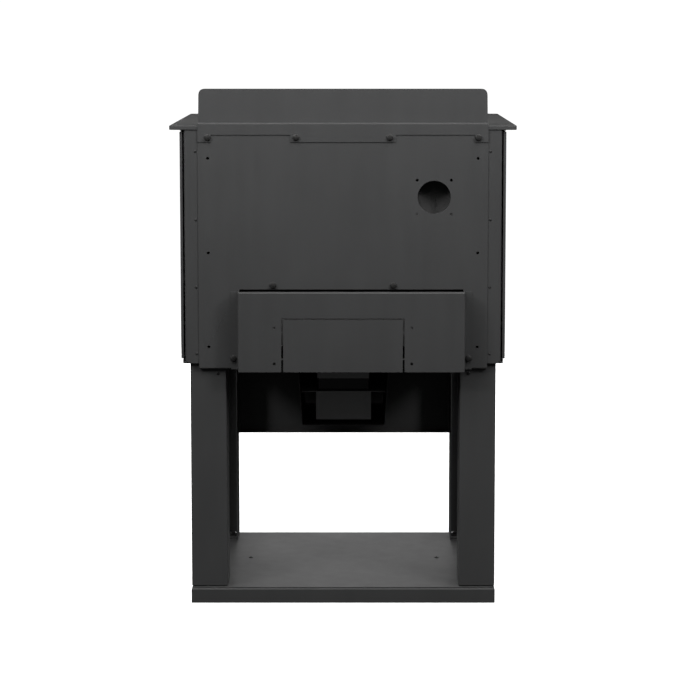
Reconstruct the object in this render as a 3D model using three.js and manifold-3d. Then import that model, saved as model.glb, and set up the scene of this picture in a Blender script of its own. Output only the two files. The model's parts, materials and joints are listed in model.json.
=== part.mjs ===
// A wood-burning cook stove on an open log-storage pedestal.
// Millimetres, +Z up. The door faces -Y and the rear shield faces +Y. The origin lies on the floor, under
// the middle of the whole stove. While the pieces are built, y = 0 is the rear edge of the base tray.
import * as THREE from 'three';
import { mergeVertices } from 'three/addons/utils/BufferGeometryUtils.js';
import Module from 'manifold-3d';

const wasm = await Module();
wasm.setup();

// ---------------------------------------------------------------- driving dimensions

const GAP = 0.3; // between pieces that touch
const REACH = 20; // how far a cutting tool runs past what it cuts

// Overall
const BODY_WIDTH = 619; // across the outer side panels
const BODY_DEPTH = 555; // rear shield to front plate
const BODY_HEIGHT = 446; // belly underside to cooktop underside
const PEDESTAL_HEIGHT = 467; // floor to belly underside

// Cooktop and splash plate
const COOKTOP_THICK = 8;
const COOKTOP_SIDE_OVERHANG = 19.5;
const COOKTOP_FRONT_OVERHANG = 55;
const COOKTOP_CORNER = 8;
const SPLASH_SHEET = 1.2;
const SPLASH_RISE = 69.2; // cooktop surface to the top of the splash plate
const SPLASH_STEP_RISE = 4.5; // cooktop surface to the splash plate's step
const SPLASH_STEP_DEPTH = 22.3; // how far the step carries the splash plate forward
const SPLASH_TAPER = 1; // each side draws in by this much at the top
const SPLASH_CORNER = 12.5;
const SPLASH_BEND = 1.8;
const SPLASH_TAB_DROP = 31; // cooktop surface to the tabs' lower edges
const SPLASH_EDGE_DROP = 17.2; // cooktop surface to the edge between the tabs
const SPLASH_CENTRE_TAB = 100; // half the width of the centre tab
const SPLASH_END_TAB = 25;
const FLUE_RADIUS = 75; // outside of the collar's pipe
const FLUE_WALL = 4;
const FLUE_RISE = 46;
const FLUE_SINK = 6; // below the cooktop's underside
const FLUE_SEAT_WIDTH = 20;
const FLUE_SEAT_THICK = 4;
const FLUE_SETBACK = 130; // rear edge of the base to the flue's axis

// Rear shield
const SHIELD_SHEET = 1.5;
const SHIELD_MARGIN = 34.5; // outer side panel to the shield's side edge
const SHIELD_SKIRT = 10; // how far it hangs below the belly
const SHIELD_RETURN = 8;
const SHIELD_BEND = 3;
const PORT_RADIUS = 31.5;
const PORT_INSET = 102; // shield's side edge to the port's centre
const PORT_DROP = 135.4; // cooktop surface to the port's centre
const PORT_BOLT_SPACING = 64.5;
const SMALL_HOLE_RADIUS = 2.8;
const EDGE_HOLE_INSET = 19;
const EDGE_HOLE_SPACING = 180;
const EDGE_HOLE_RISE = 32.4; // belly underside to the lowest edge hole
const INLET_SILL = 8; // belly underside to the shield's air opening
const INLET_HEAD = 1.2; // how far that opening reaches above the cover's top

// Rear air cover
const COVER_SHEET = 1.5;
const COVER_DEPTH = 42;
const COVER_BEND = 3;
const COVER_MARGIN_LEFT = 44.3; // shield's edge to the cover, on the -X side
const COVER_MARGIN_RIGHT = 76.3; // and on the +X side
const COVER_TOP = 141.5; // belly underside to the cover's top
const COVER_SKIRT = 10.4; // belly underside to the cover's bottom edge
const COVER_TOP_RETURN = 12;
const COVER_FLANGE = 15;
const KNOCKOUT_HALF = 115; // to the middle of each upright slot
const KNOCKOUT_TOP = 90.9; // belly underside to the middle of the level slot
const KNOCKOUT_SLOT = 3.7;
const KNOCKOUT_BRIDGE = 2.5;
const KNOCKOUT_BRIDGE_X = 76.8;
const KNOCKOUT_BRIDGE_RISES = [14.3, 64.5];
const BLOWER_HOLE_X = 130.2;
const BLOWER_HOLE_RISES = [5.4, 74.6];

// Side casings and side panels
const CASING_SHEET = 1.5;
const CASING_BEND = 5;
const CASING_SETBACK = 1.8; // behind the shield's outer face
const CASING_REAR_FLANGE = 34.5;
const CASING_TOP_FLANGE = 7;
const PANEL_THICK = 5;
const PANEL_SHEET = 1.2;
const PANEL_STANDOFF = 3; // air gap between panel and casing
const PANEL_FOOT_MARGIN = 9; // belly underside to the panel
const PANEL_HEAD_MARGIN = 4; // panel to cooktop underside
const PANEL_REAR_MARGIN = 6;
const PANEL_FRONT_MARGIN = 10;
const PANEL_SPACER_RADIUS = 6;
const PANEL_SPACER_INSET = 60;

// Pedestal
const BASE_HEIGHT = 28.4;
const BASE_WALL = 2;
const BASE_FLANGE = 12;
const BASE_BEND = 3;
const BASE_SIDE_INSET = 16.5; // outer side panel to the base's side
const BASE_FRONT_SETBACK = 47; // front plate to the base's front lip
const SHELF_THICK = 1.5;
const SHELF_INSET = 4;
const LEG_SHEET = 2;
const LEG_WIDTH = 69.3;
const LEG_RETURN = 80;
const LEG_BEND = 3;
const LEG_SIDE_SETBACK = 0.3; // from the base's side
const LEG_END_SETBACK = 10; // from the base's front and rear lips
const LEG_FOOT_RISE = 1.6; // the walls stop this far above the shelf
const LEG_TAB_SETBACK = 8; // leg's face to the foot tab
const LEG_TAB_DEPTH = 62; // leg's face to the tabs' inner ends
const LEG_TAB_THICK = 3;
const LEG_BOLT_HOLE_RADIUS = 5;
const LEG_BOLT_INSET = 35;
const LEG_BOLT_SIDE = 16;
const APRON_SHEET = 2;
const APRON_DROP = 217.4; // belly underside to the apron's bottom edge
const APRON_RETURN = 14;
const APRON_SIDE_RETURN = 20;
const APRON_BEND = 3;

// Belly, firebox and front plate
const BELLY_THICK = 3;
const BELLY_RIM = 8.5;
const BELLY_RIM_SHEET = 2;
const BELLY_SIDE_INSET = 3.5;
const FIREBOX_LIFT = 24; // air space under the firebox floor
const FIREBOX_SIDE_GAP = 41.5; // outer side panel to firebox wall
const FIREBOX_REAR_GAP = 38;
const FIREBOX_PLATE = 5;
const SKID_INSET = 58; // firebox wall to the skid's outer face
const SKID_WIDTH = 20;
const SKID_MARGIN = 8;
const FRONT_PLATE_THICK = 6;
const DOORWAY_SILL = 93; // belly underside to the door opening
const DOORWAY_HEAD = 81; // door opening to cooktop underside
const DOORWAY_JAMB = 94.5; // outer side panel to door opening
const DOORWAY_CORNER = 10;
const OUTLET_WIDTH = 14; // warm-air outlets beside the door
const OUTLET_HEIGHT = 30;
const OUTLET_CORNER = 4.5;
const OUTLET_PITCH = 42;
const OUTLET_COUNT = 4;
const OUTLET_INSET = 26; // outer side panel to the outlets' middle
const LIP_DEPTH = 45;
const LIP_THICK = 6;
const LIP_DROP = 5; // door bottom to the ash lip
const LIP_APRON = 20;
const LIP_SIDE_MARGIN = 15; // doorway edge to the lip's end

// Refractory lining, air tubes and baffle
const FLOOR_BRICK = 32;
const WALL_BRICK = 25;
const CENTRE_BRICK_HALF = 90;
const BRICK_FRONT_MARGIN = 14; // front plate's back to the bricks
const DUCT_WIDTH = 30;
const DUCT_HEIGHT = 40;
const DUCT_WALL = 2;
const DUCT_HEAD_ROOM = 50.7; // duct top to cooktop underside
const DUCT_FRONT_MARGIN = 49;
const TUBE_RADIUS = 12.5;
const TUBE_WALL = 2;
const TUBE_NAMES = ['air_tube_rear', 'air_tube_middle', 'air_tube_front'];
const TUBE_FIRST = 112; // rear shield to the rear tube
const TUBE_JET_RADIUS = 2.5;
const TUBE_JETS = 6;
const BOARD_THICK = 22;
const BOARD_FRONT_MARGIN = 79;
const BLANKET_THICK = 12;
const BLANKET_INSET = 4;

// Ash plug, chute, cradle and drawer
const CHUTE_HALF = 50;
const CHUTE_WALL = 2;
const CHUTE_SETBACK = 272; // rear edge of the base to the chute's middle
const CHUTE_FLANGE = 12;
const CHUTE_FLANGE_THICK = 2;
const PLUG_HOLE_RADIUS = 42;
const PLUG_CLEARANCE = 2;
const PLUG_SEAT_WIDTH = 14;
const PLUG_SEAT_DEPTH = 8;
const PLUG_FLANGE_THICK = 5.6;
const PLUG_DEPTH = 21;
const PLUG_DISH_RADIUS = 30;
const PLUG_DISH_DEPTH = 9.5;
const PLUG_BAR_WIDTH = 8;
const PLUG_BAR_HEIGHT = 6.4;
const PAN_HALF = 55.2;
const PAN_HEIGHT = 57.6;
const PAN_DROP = 86; // belly underside to the pan's rim
const PAN_SHEET = 1.5;
const PAN_REAR_SETBACK = 215; // rear edge of the base to the pan's rear wall
const PAN_CHUTE_GAP = 2;
const RIM_CLEARANCE = 2.4; // pan's rim to the cradle's wall
const CRADLE_SHEET = 1.5;
const CRADLE_BOTTOM_HALF = 83;
const CRADLE_SLOPE = 0.071; // sideways per unit of height
const CRADLE_BEND = 4;
const CRADLE_UNDER_PAN = 10;
const LEDGE_CLEARANCE = 13.6; // pan's side to the ledge
const CRADLE_FLANGE = 15;
const CRADLE_FRONT_MARGIN = 16;
const CRADLE_LEAD = 3; // how far the cradle starts behind the pan
const DRAWER_SLOT_HALF = 88;
const DRAWER_SLOT_HEAD = 7; // above the pan
const DRAWER_SLOT_SILL = 14; // below the pan
const DRAWER_FRONT_LAP = 12;
const DRAWER_FRONT_THICK = 4;
const PULL_HALF = 60;
const PULL_RADIUS = 6;
const PULL_POST_RADIUS = 4;
const PULL_POST_X = 45;
const PULL_REACH = 27;

// Fresh-air box, damper and its control
const INTAKE_HALF = 50;
const INTAKE_SETBACK = 60; // rear edge of the base to the box
const INTAKE_DEPTH = 90;
const INTAKE_DROP = 37;
const INTAKE_SHEET = 1.5;
const INTAKE_HOLE_RADIUS = 38;
const DAMPER_X = 120;
const DAMPER_HALF = 50;
const DAMPER_LENGTH = 80;
const DAMPER_THICK = 2;
const DAMPER_SETBACK = 69; // front plate's back to the damper plate
const AIR_PORT_HALF = 40;
const AIR_PORT_DEPTH = 25;
const GUIDE_WALL = 2;
const GUIDE_LIP = 10;
const GUIDE_REAR_GAP = 5;
const ROD_RADIUS = 4;
const ROD_RISE = 12.5; // belly's top face to the rod's axis
const ROD_REACH = 30; // in front of the front plate
const ROD_HOLE_CLEARANCE = 0.6;
const ROD_POST = 8;
const KNOB_RADIUS = 11;
const KNOB_LENGTH = 26;
const KNOB_PROFILE = [[0.6, 0], [0.7, 0.25], [1, 0.55], [1, 0.8], [0.8, 1]]; // shares of radius and length

// Door
const DOOR_LAP = 25; // over the edge of the doorway
const DOOR_THICK = 17.4;
const DOOR_CORNER = 12;
const GASKET_WIDTH = 10;
const GASKET_DEPTH = 7;
const GASKET_CORNER = 2; // least inner corner of a rope ring
const GASKET_LAP = 5; // doorway edge to the rope's inner edge
const WINDOW_STILE = 75; // door's edge to the window, at the sides
const WINDOW_RAIL = 52; // and at the top and bottom
const WINDOW_CORNER = 10;
const GLASS_REBATE = 15; // how far the rebate reaches past the window
const GLASS_THICK = 5;
const GLASS_TAPE_THICK = 2;
const GLASS_CLEARANCE = 1;
const GLASS_TAPE_WIDTH = 11;
const RETAINER_THICK = 1.5;
const RETAINER_WIDTH = 12;
const HINGE_REACH = 16; // door's edge to the hinge axis
const KNUCKLE_RADIUS = 8;
const KNUCKLE_HEIGHT = 15;
const KNUCKLE_ARM_THICK = 12;
const KNUCKLE_ARM_ROOT = 3; // inside the door's edge
const HINGE_INSET = 50; // door's top and bottom to the knuckles
const PIN_RADIUS = 4;
const PIN_HEAD_RADIUS = 6;
const PIN_HEAD_HEIGHT = 5;
const PIN_HEAD_SHOULDER = 3;
const HINGE_PAD_WIDTH = 34;
const HINGE_PAD_THICK = 4;
const HINGE_PAD_MARGIN = 8;
const SPINDLE_RADIUS = 6;
const ELBOW_SWELL = 1.02; // the elbow's ball, as a multiple of the spindle
const SPINDLE_INSET = 12; // doorway edge to the spindle's axis
const SPINDLE_FRONT = 22; // door's face to the lever
const LEVER_DROOP = THREE.MathUtils.degToRad(20);
const LEVER_LENGTH = 34;
const GRIP_LENGTH = 72;
const GRIP_RADIUS = 11;
const GRIP_PROFILE = [[0.7, 0], [0.9, 0.12], [0.8, 0.35], [1, 0.75], [0.85, 0.94], [0.5, 1]]; // likewise
const TONGUE_HUB_RADIUS = 10;
const TONGUE_LENGTH = 34;
const TONGUE_WIDTH = 12;
const TONGUE_THICK = 5;
const CATCH_THICK = 2;
const CATCH_WIDTH = 22;
const CATCH_DROP = 11; // below the spindle's axis
const CATCH_RISE = 33; // and above it

// Facets around round shapes
const FACETS = { jet: 8, hole: 10, bolt: 12, rod: 16, knuckle: 20, knob: 24, plug: 32, pipe: 40 };

// ---------------------------------------------------------------- places worked out from them

const bodyHalf = BODY_WIDTH / 2;
const zBelly = PEDESTAL_HEIGHT;
const zBellyTop = zBelly + BELLY_THICK;
const zCooktop = zBelly + BODY_HEIGHT;
const zSurface = zCooktop + COOKTOP_THICK;
const yFrontPlate = -BODY_DEPTH;
const yFrontPlateBack = yFrontPlate + FRONT_PLATE_THICK;
const shieldHalf = bodyHalf - SHIELD_MARGIN;
const baseHalf = bodyHalf - BASE_SIDE_INSET;
const yBaseFront = yFrontPlate + BASE_FRONT_SETBACK;
const zShelf = BASE_HEIGHT + GAP + SHELF_THICK;
const legOuter = baseHalf - LEG_SIDE_SETBACK;
const legInner = legOuter - LEG_WIDTH;
const yLegFront = yBaseFront + LEG_END_SETBACK;
const casingHalf = bodyHalf - PANEL_THICK - PANEL_STANDOFF;
const fireHalf = bodyHalf - FIREBOX_SIDE_GAP;
const fireInner = fireHalf - FIREBOX_PLATE;
const yFireRear = -FIREBOX_REAR_GAP;
const yLiningRear = yFireRear - FIREBOX_PLATE - GAP;
const zFireBottom = zBellyTop + GAP + FIREBOX_LIFT;
const zFireFloor = zFireBottom + FIREBOX_PLATE;
const liningHalf = fireInner - GAP;
const yLiningFront = yFrontPlateBack + BRICK_FRONT_MARGIN;
const zFloorBrick = zFireFloor + GAP;
const zFloorBrickTop = zFloorBrick + FLOOR_BRICK;
const zDuctTop = zCooktop - DUCT_HEAD_ROOM;
const zDuct = zDuctTop - DUCT_HEIGHT;
const doorwayHalf = bodyHalf - DOORWAY_JAMB;
const zDoorway = [zBelly + DOORWAY_SILL, zCooktop - DOORWAY_HEAD];
const zPanTop = zBelly - PAN_DROP;
const zPanBottom = zPanTop - PAN_HEIGHT;
const zPanMiddle = (zPanTop + zPanBottom) / 2;
const zRod = zBellyTop + ROD_RISE;
const yChute = -CHUTE_SETBACK;

// ---------------------------------------------------------------- finishes

function finish(color, roughness, metalness) {
  return () => new THREE.MeshStandardMaterial({ color, roughness, metalness });
}

const charcoalPaint = finish(0x3b3b3d, 0.55, 0.3);
const blackIron = finish(0x2b2b2c, 0.7, 0.6);
const bareSteel = finish(0x6f7072, 0.42, 0.9);
const firebrick = finish(0xc9b48c, 0.92, 0);
const fibreBoard = finish(0xd9d4c8, 0.95, 0);
const ropeSeal = finish(0x55524d, 0.95, 0);

function ceramicGlass() {
  const material = new THREE.MeshStandardMaterial({ color: 0x2a2622, roughness: 0.08, metalness: 0 });
  material.transparent = true;
  material.opacity = 0.45;
  return material;
}

// ---------------------------------------------------------------- shape helpers

function toSolid(geometry) {
  const bare = geometry.clone();
  bare.deleteAttribute('normal');
  bare.deleteAttribute('uv');
  const merged = mergeVertices(bare, 1e-4);
  return new wasm.Manifold(new wasm.Mesh({
    numProp: 3,
    vertProperties: Float32Array.from(merged.attributes.position.array),
    triVerts: Uint32Array.from(merged.index.array),
  }));
}

function toGeometry(solid) {
  const mesh = solid.getMesh();
  const geometry = new THREE.BufferGeometry();
  geometry.setAttribute('position', new THREE.BufferAttribute(mesh.vertProperties, 3));
  geometry.setIndex(new THREE.BufferAttribute(mesh.triVerts, 1));
  geometry.computeVertexNormals();
  return geometry;
}

function join(...solids) {
  return solids.reduce((whole, next) => whole.add(next));
}

function cut(solid, ...tools) {
  return tools.reduce((whole, tool) => whole.subtract(tool), solid);
}

function block([x0, x1], [y0, y1], [z0, z1]) {
  const geometry = new THREE.BoxGeometry(x1 - x0, y1 - y0, z1 - z0);
  geometry.translate((x0 + x1) / 2, (y0 + y1) / 2, (z0 + z1) / 2);
  return toSolid(geometry);
}

// Corners are [a, b, radius]; a radius of 0 or none leaves the corner sharp.
function roundedShape(corners) {
  const shape = new THREE.Shape();
  corners.forEach(([a, b, radius = 0], i) => {
    const corner = new THREE.Vector2(a, b);
    const before = new THREE.Vector2(...corners.at(i - 1).slice(0, 2));
    const after = new THREE.Vector2(...corners[(i + 1) % corners.length].slice(0, 2));
    const enter = corner.clone().add(before.sub(corner).setLength(radius));
    const leave = corner.clone().add(after.sub(corner).setLength(radius));
    if (i === 0) {
      shape.moveTo(enter.x, enter.y);
    } else {
      shape.lineTo(enter.x, enter.y);
    }
    if (radius > 0) {
      shape.quadraticCurveTo(corner.x, corner.y, leave.x, leave.y);
    }
  });
  shape.closePath();
  return shape;
}

// A prism of a shape: drawn in (y, z) and run along x, in (x, z) along y, or in (x, y) along z.
const BASES = {
  x: [new THREE.Vector3(0, 1, 0), new THREE.Vector3(0, 0, 1), new THREE.Vector3(1, 0, 0)],
  y: [new THREE.Vector3(1, 0, 0), new THREE.Vector3(0, 0, 1), new THREE.Vector3(0, -1, 0)],
  z: [new THREE.Vector3(1, 0, 0), new THREE.Vector3(0, 1, 0), new THREE.Vector3(0, 0, 1)],
};

function prism(axis, shape, [low, high], curveSegments = 4) {
  const settings = { depth: high - low, bevelEnabled: false, curveSegments };
  const geometry = new THREE.ExtrudeGeometry(shape, settings);
  geometry.translate(0, 0, axis === 'y' ? -high : low);
  geometry.applyMatrix4(new THREE.Matrix4().makeBasis(...BASES[axis]));
  return toSolid(geometry);
}

function rectangle([a0, a1], [b0, b1], radius = 0) {
  return roundedShape([[a0, b0, radius], [a1, b0, radius], [a1, b1, radius], [a0, b1, radius]]);
}

// The section of a bent sheet. The path runs along one face, and the sheet lies on its left (side = 1)
// or right (side = -1).
function sheetSection(path, thickness, bend, side = 1) {
  const points = path.map(([a, b]) => new THREE.Vector2(a, b));
  const headings = points.slice(1).map((point, i) => point.clone().sub(points[i]).normalize());
  const near = [];
  const far = [];
  points.forEach((point, i) => {
    const before = headings[Math.max(i - 1, 0)];
    const after = headings[Math.min(i, headings.length - 1)];
    const turn = before.cross(after);
    const across = new THREE.Vector2(-before.y - after.y, before.x + after.x).normalize();
    const reach = (side * thickness) / across.dot(new THREE.Vector2(-after.y, after.x));
    const isBend = Math.abs(turn) > 1e-6;
    const nearIsOuter = turn * side > 0;
    const nearRadius = nearIsOuter ? bend : bend - thickness;
    const farRadius = nearIsOuter ? bend - thickness : bend;
    near.push([point.x, point.y, isBend ? nearRadius : 0]);
    far.push([point.x + across.x * reach, point.y + across.y * reach, isBend ? farRadius : 0]);
  });
  return roundedShape([...near, ...far.reverse()]);
}

const TURNS = {
  x: (geometry) => geometry.rotateZ(-Math.PI / 2),
  y: (geometry) => geometry,
  z: (geometry) => geometry.rotateX(Math.PI / 2),
};

function rod(axis, radius, [low, high], [a, b], segments = FACETS.knuckle) {
  const geometry = TURNS[axis](new THREE.CylinderGeometry(radius, radius, high - low, segments));
  const middle = (low + high) / 2;
  const place = { x: [middle, a, b], y: [a, middle, b], z: [a, b, middle] }[axis];
  return toSolid(geometry.translate(...place));
}

// A turned piece standing on the z axis, from a profile of [radius, height] points.
function turned(profile, segments = FACETS.plug) {
  const points = profile.map(([radius, height]) => new THREE.Vector2(radius, height));
  return toSolid(new THREE.LatheGeometry(points, segments).rotateX(Math.PI / 2));
}

function ring([outer, inner], [low, high], segments) {
  return turned([[inner, low], [outer, low], [outer, high], [inner, high], [inner, low]], segments);
}

// ---------------------------------------------------------------- the stove

const stove = new THREE.Group();

function addPiece(name, solid, material) {
  const mesh = new THREE.Mesh(toGeometry(solid), material());
  mesh.name = name;
  stove.add(mesh);
}

function mirrored(solid) {
  return solid.mirror([1, 0, 0]);
}

function addPair(name, solid, material) {
  addPiece(`${name}_right`, solid, material);
  addPiece(`${name}_left`, mirrored(solid), material);
}

// ---- pedestal

function baseTray() {
  const outline = roundedShape([
    [yBaseFront, 0],
    [0, 0],
    [0, BASE_HEIGHT, BASE_BEND],
    [yBaseFront, BASE_HEIGHT, BASE_BEND],
  ]);
  const across = roundedShape([
    [-baseHalf, 0],
    [baseHalf, 0],
    [baseHalf, BASE_HEIGHT, BASE_BEND],
    [-baseHalf, BASE_HEIGHT, BASE_BEND],
  ]);
  const outer = prism('x', outline, [-baseHalf, baseHalf]).intersect(prism('y', across, [yBaseFront, 0]));
  const innerHalf = baseHalf - BASE_WALL;
  const innerY = [yBaseFront + BASE_WALL, -BASE_WALL];
  const hollow = block([-innerHalf, innerHalf], innerY, [BASE_WALL, BASE_HEIGHT - BASE_WALL]);
  const mouthHalf = innerHalf - BASE_FLANGE;
  const mouth = block(
    [-mouthHalf, mouthHalf],
    [innerY[0] + BASE_FLANGE, innerY[1] - BASE_FLANGE],
    [-REACH, BASE_WALL + GAP],
  );
  return cut(outer, hollow, mouth);
}

function storageShelf() {
  const half = baseHalf - SHELF_INSET;
  return block([-half, half], [yBaseFront + SHELF_INSET, -SHELF_INSET], [BASE_HEIGHT + GAP, zShelf]);
}

// A folded channel with its face towards the stove's front or rear, and its open side inwards.
function leg(yFace, inward) {
  const path = [
    [legInner, yFace + inward * LEG_RETURN],
    [legInner, yFace],
    [legOuter, yFace],
    [legOuter, yFace + inward * LEG_RETURN],
  ];
  const section = sheetSection(path, LEG_SHEET, LEG_BEND, inward);
  const zFoot = zShelf + GAP;
  const zTop = zBelly - GAP;
  const channel = prism('z', section, [zFoot + LEG_FOOT_RISE, zTop]);
  const tabX = [legInner + LEG_SHEET / 2, legOuter - LEG_SHEET / 2];
  const tabY = (setback) => [yFace + inward * setback, yFace + inward * LEG_TAB_DEPTH].sort((a, b) => a - b);
  const foot = block(tabX, tabY(LEG_TAB_SETBACK), [zFoot, zFoot + LEG_FOOT_RISE + LEG_SHEET / 2]);
  const head = block(tabX, tabY(LEG_SHEET / 2), [zTop - LEG_TAB_THICK, zTop]);
  const boltPlace = [legInner + LEG_BOLT_SIDE, yFace + inward * LEG_BOLT_INSET];
  const boltHoles = rod('z', LEG_BOLT_HOLE_RADIUS, [0, zTop + REACH], boltPlace, FACETS.bolt);
  return cut(join(channel, foot, head), boltHoles);
}

function drawerSlot(y) {
  const z = [zPanBottom - DRAWER_SLOT_SILL, zPanTop + DRAWER_SLOT_HEAD];
  return block([-DRAWER_SLOT_HALF, DRAWER_SLOT_HALF], y, z);
}

function frontApron() {
  const half = legInner - GAP;
  const zBottom = zBelly - APRON_DROP;
  const zTop = zBelly - GAP;
  const section = sheetSection(
    [[yLegFront + APRON_RETURN, zBottom], [yLegFront, zBottom], [yLegFront, zTop]],
    APRON_SHEET,
    APRON_BEND,
    -1,
  );
  const sideY = [yLegFront + APRON_SHEET / 2, yLegFront + APRON_SIDE_RETURN];
  const side = block([half - APRON_SHEET, half], sideY, [zBottom + APRON_SHEET / 2, zTop]);
  const panel = join(prism('x', section, [-half, half]), side, mirrored(side));
  return cut(panel, drawerSlot([yLegFront - REACH, yLegFront + APRON_SHEET + GAP]));
}

addPiece('base_tray', baseTray(), charcoalPaint);
addPiece('storage_shelf', storageShelf(), charcoalPaint);
addPair('leg_rear', leg(-LEG_END_SETBACK, -1), charcoalPaint);
addPair('leg_front', leg(yLegFront, 1), charcoalPaint);
addPiece('front_apron', frontApron(), charcoalPaint);

// ---- body

function bellyPan() {
  const half = bodyHalf - BELLY_SIDE_INSET;
  const yRear = -(CASING_SETBACK + CASING_SHEET + GAP);
  const plate = block([-half, half], [yFrontPlate, yRear], [zBelly, zBellyTop]);
  const rim = block([half - BELLY_RIM_SHEET, half], [yFrontPlate, yRear], [zBelly, zBelly + BELLY_RIM]);
  const chuteHalf = CHUTE_HALF + GAP;
  const throughPlate = [zBelly - REACH, zBellyTop + REACH];
  const chuteHole = block([-chuteHalf, chuteHalf], [yChute - chuteHalf, yChute + chuteHalf], throughPlate);
  const yIntake = -(INTAKE_SETBACK + INTAKE_DEPTH / 2);
  const intakeHole = rod('z', INTAKE_HOLE_RADIUS, throughPlate, [0, yIntake], FACETS.knob);
  return cut(join(plate, rim, mirrored(rim)), chuteHole, intakeHole);
}

function sideCasing() {
  const path = [
    [casingHalf - CASING_REAR_FLANGE, -CASING_SETBACK],
    [casingHalf, -CASING_SETBACK],
    [casingHalf, yFrontPlateBack + GAP],
  ];
  const z = [zBellyTop + GAP, zCooktop - GAP];
  const wall = prism('z', sheetSection(path, CASING_SHEET, CASING_BEND, -1), z);
  const foot = block(
    [casingHalf - CASING_REAR_FLANGE, casingHalf - CASING_BEND],
    [-CASING_SETBACK - CASING_SHEET, -CASING_SETBACK],
    [zBelly + GAP, z[0] + CASING_SHEET],
  );
  const topFlange = block(
    [casingHalf - CASING_SHEET / 2, casingHalf + CASING_TOP_FLANGE],
    [yFrontPlateBack + GAP, -CASING_SETBACK - CASING_BEND],
    [z[1] - CASING_SHEET, z[1]],
  );
  return join(wall, foot, topFlange);
}

function sidePanel() {
  const y = [yFrontPlate + PANEL_FRONT_MARGIN, -PANEL_REAR_MARGIN];
  const z = [zBelly + PANEL_FOOT_MARGIN, zCooktop - PANEL_HEAD_MARGIN];
  const xInner = bodyHalf - PANEL_THICK;
  const tray = cut(
    block([xInner, bodyHalf], y, z),
    block(
      [xInner - REACH, bodyHalf - PANEL_SHEET],
      [y[0] + PANEL_SHEET, y[1] - PANEL_SHEET],
      [z[0] + PANEL_SHEET, z[1] - PANEL_SHEET],
    ),
  );
  const spacers = [];
  for (const spacerY of [y[0] + PANEL_SPACER_INSET, y[1] - PANEL_SPACER_INSET]) {
    for (const spacerZ of [z[0] + PANEL_SPACER_INSET, z[1] - PANEL_SPACER_INSET]) {
      const x = [casingHalf + GAP, bodyHalf - PANEL_SHEET / 2];
      spacers.push(rod('x', PANEL_SPACER_RADIUS, x, [spacerY, spacerZ], FACETS.bolt));
    }
  }
  return join(tray, ...spacers);
}

function fireboxShell() {
  const y = [yFrontPlateBack + GAP, yFireRear];
  const outer = block([-fireHalf, fireHalf], y, [zFireBottom, zCooktop - GAP]);
  const inner = block(
    [-fireInner, fireInner],
    [y[0] - REACH, y[1] - FIREBOX_PLATE],
    [zFireFloor, zCooktop + REACH],
  );
  const skid = block(
    [fireHalf - SKID_INSET - SKID_WIDTH, fireHalf - SKID_INSET],
    [y[0] + SKID_MARGIN, y[1] - SKID_MARGIN],
    [zBellyTop + GAP, zFireBottom + FIREBOX_PLATE / 2],
  );
  const floorCut = [zFireBottom - REACH, zFireFloor + REACH];
  const plugHole = rod('z', PLUG_HOLE_RADIUS, floorCut, [0, yChute], FACETS.plug);
  const yPort = yFrontPlateBack + DAMPER_SETBACK + DAMPER_LENGTH / 2;
  const airPort = block(
    [DAMPER_X - AIR_PORT_HALF, DAMPER_X + AIR_PORT_HALF],
    [yPort - AIR_PORT_DEPTH / 2, yPort + AIR_PORT_DEPTH / 2],
    floorCut,
  );
  return cut(join(cut(outer, inner), skid, mirrored(skid)), plugHole, airPort);
}

function frontPlate() {
  const y = [yFrontPlate, yFrontPlateBack];
  const through = [y[0] - REACH, y[1] + REACH];
  const plate = block([-casingHalf, casingHalf], y, [zBellyTop + GAP, zCooktop - GAP]);
  const doorway = prism('y', rectangle([-doorwayHalf, doorwayHalf], zDoorway, DOORWAY_CORNER), through);
  const rodHole = rod('y', ROD_RADIUS + ROD_HOLE_CLEARANCE, through, [DAMPER_X, zRod], FACETS.rod);
  const outlets = [];
  const zMiddle = (zDoorway[0] + zDoorway[1]) / 2;
  for (let i = 0; i < OUTLET_COUNT; i += 1) {
    const z = zMiddle + (i - (OUTLET_COUNT - 1) / 2) * OUTLET_PITCH;
    const x = bodyHalf - OUTLET_INSET;
    const outlet = rectangle(
      [x - OUTLET_WIDTH / 2, x + OUTLET_WIDTH / 2],
      [z - OUTLET_HEIGHT / 2, z + OUTLET_HEIGHT / 2],
      OUTLET_CORNER,
    );
    const tool = prism('y', outlet, through, 3);
    outlets.push(tool, mirrored(tool));
  }
  return cut(plate, doorway, rodHole, ...outlets);
}

function cooktopPlate() {
  const half = bodyHalf + COOKTOP_SIDE_OVERHANG;
  const y = [yFrontPlate - COOKTOP_FRONT_OVERHANG, 0];
  const plate = prism('z', rectangle([-half, half], y, COOKTOP_CORNER), [zCooktop, zSurface]);
  const through = [zCooktop - REACH, zSurface + REACH];
  return cut(plate, rod('z', FLUE_RADIUS + GAP, through, [0, -FLUE_SETBACK], FACETS.pipe));
}

function flueCollar() {
  const pipeZ = [zCooktop - FLUE_SINK, zSurface + FLUE_RISE];
  const pipe = ring([FLUE_RADIUS, FLUE_RADIUS - FLUE_WALL], pipeZ, FACETS.pipe);
  const seatZ = [zSurface + GAP, zSurface + GAP + FLUE_SEAT_THICK];
  const seat = ring([FLUE_RADIUS + FLUE_SEAT_WIDTH, FLUE_RADIUS - FLUE_WALL / 2], seatZ, FACETS.pipe);
  return join(pipe, seat).translate([0, -FLUE_SETBACK, 0]);
}

function ashLip() {
  const half = doorwayHalf - LIP_SIDE_MARGIN;
  const zTop = zDoorway[0] - DOOR_LAP - LIP_DROP;
  const yBack = yFrontPlate - GAP;
  const shelf = block([-half, half], [yBack - LIP_DEPTH, yBack], [zTop - LIP_THICK, zTop]);
  const flange = block([-half, half], [yBack - LIP_THICK / 2, yBack], [zTop - LIP_APRON, zTop]);
  return join(shelf, flange);
}

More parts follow.
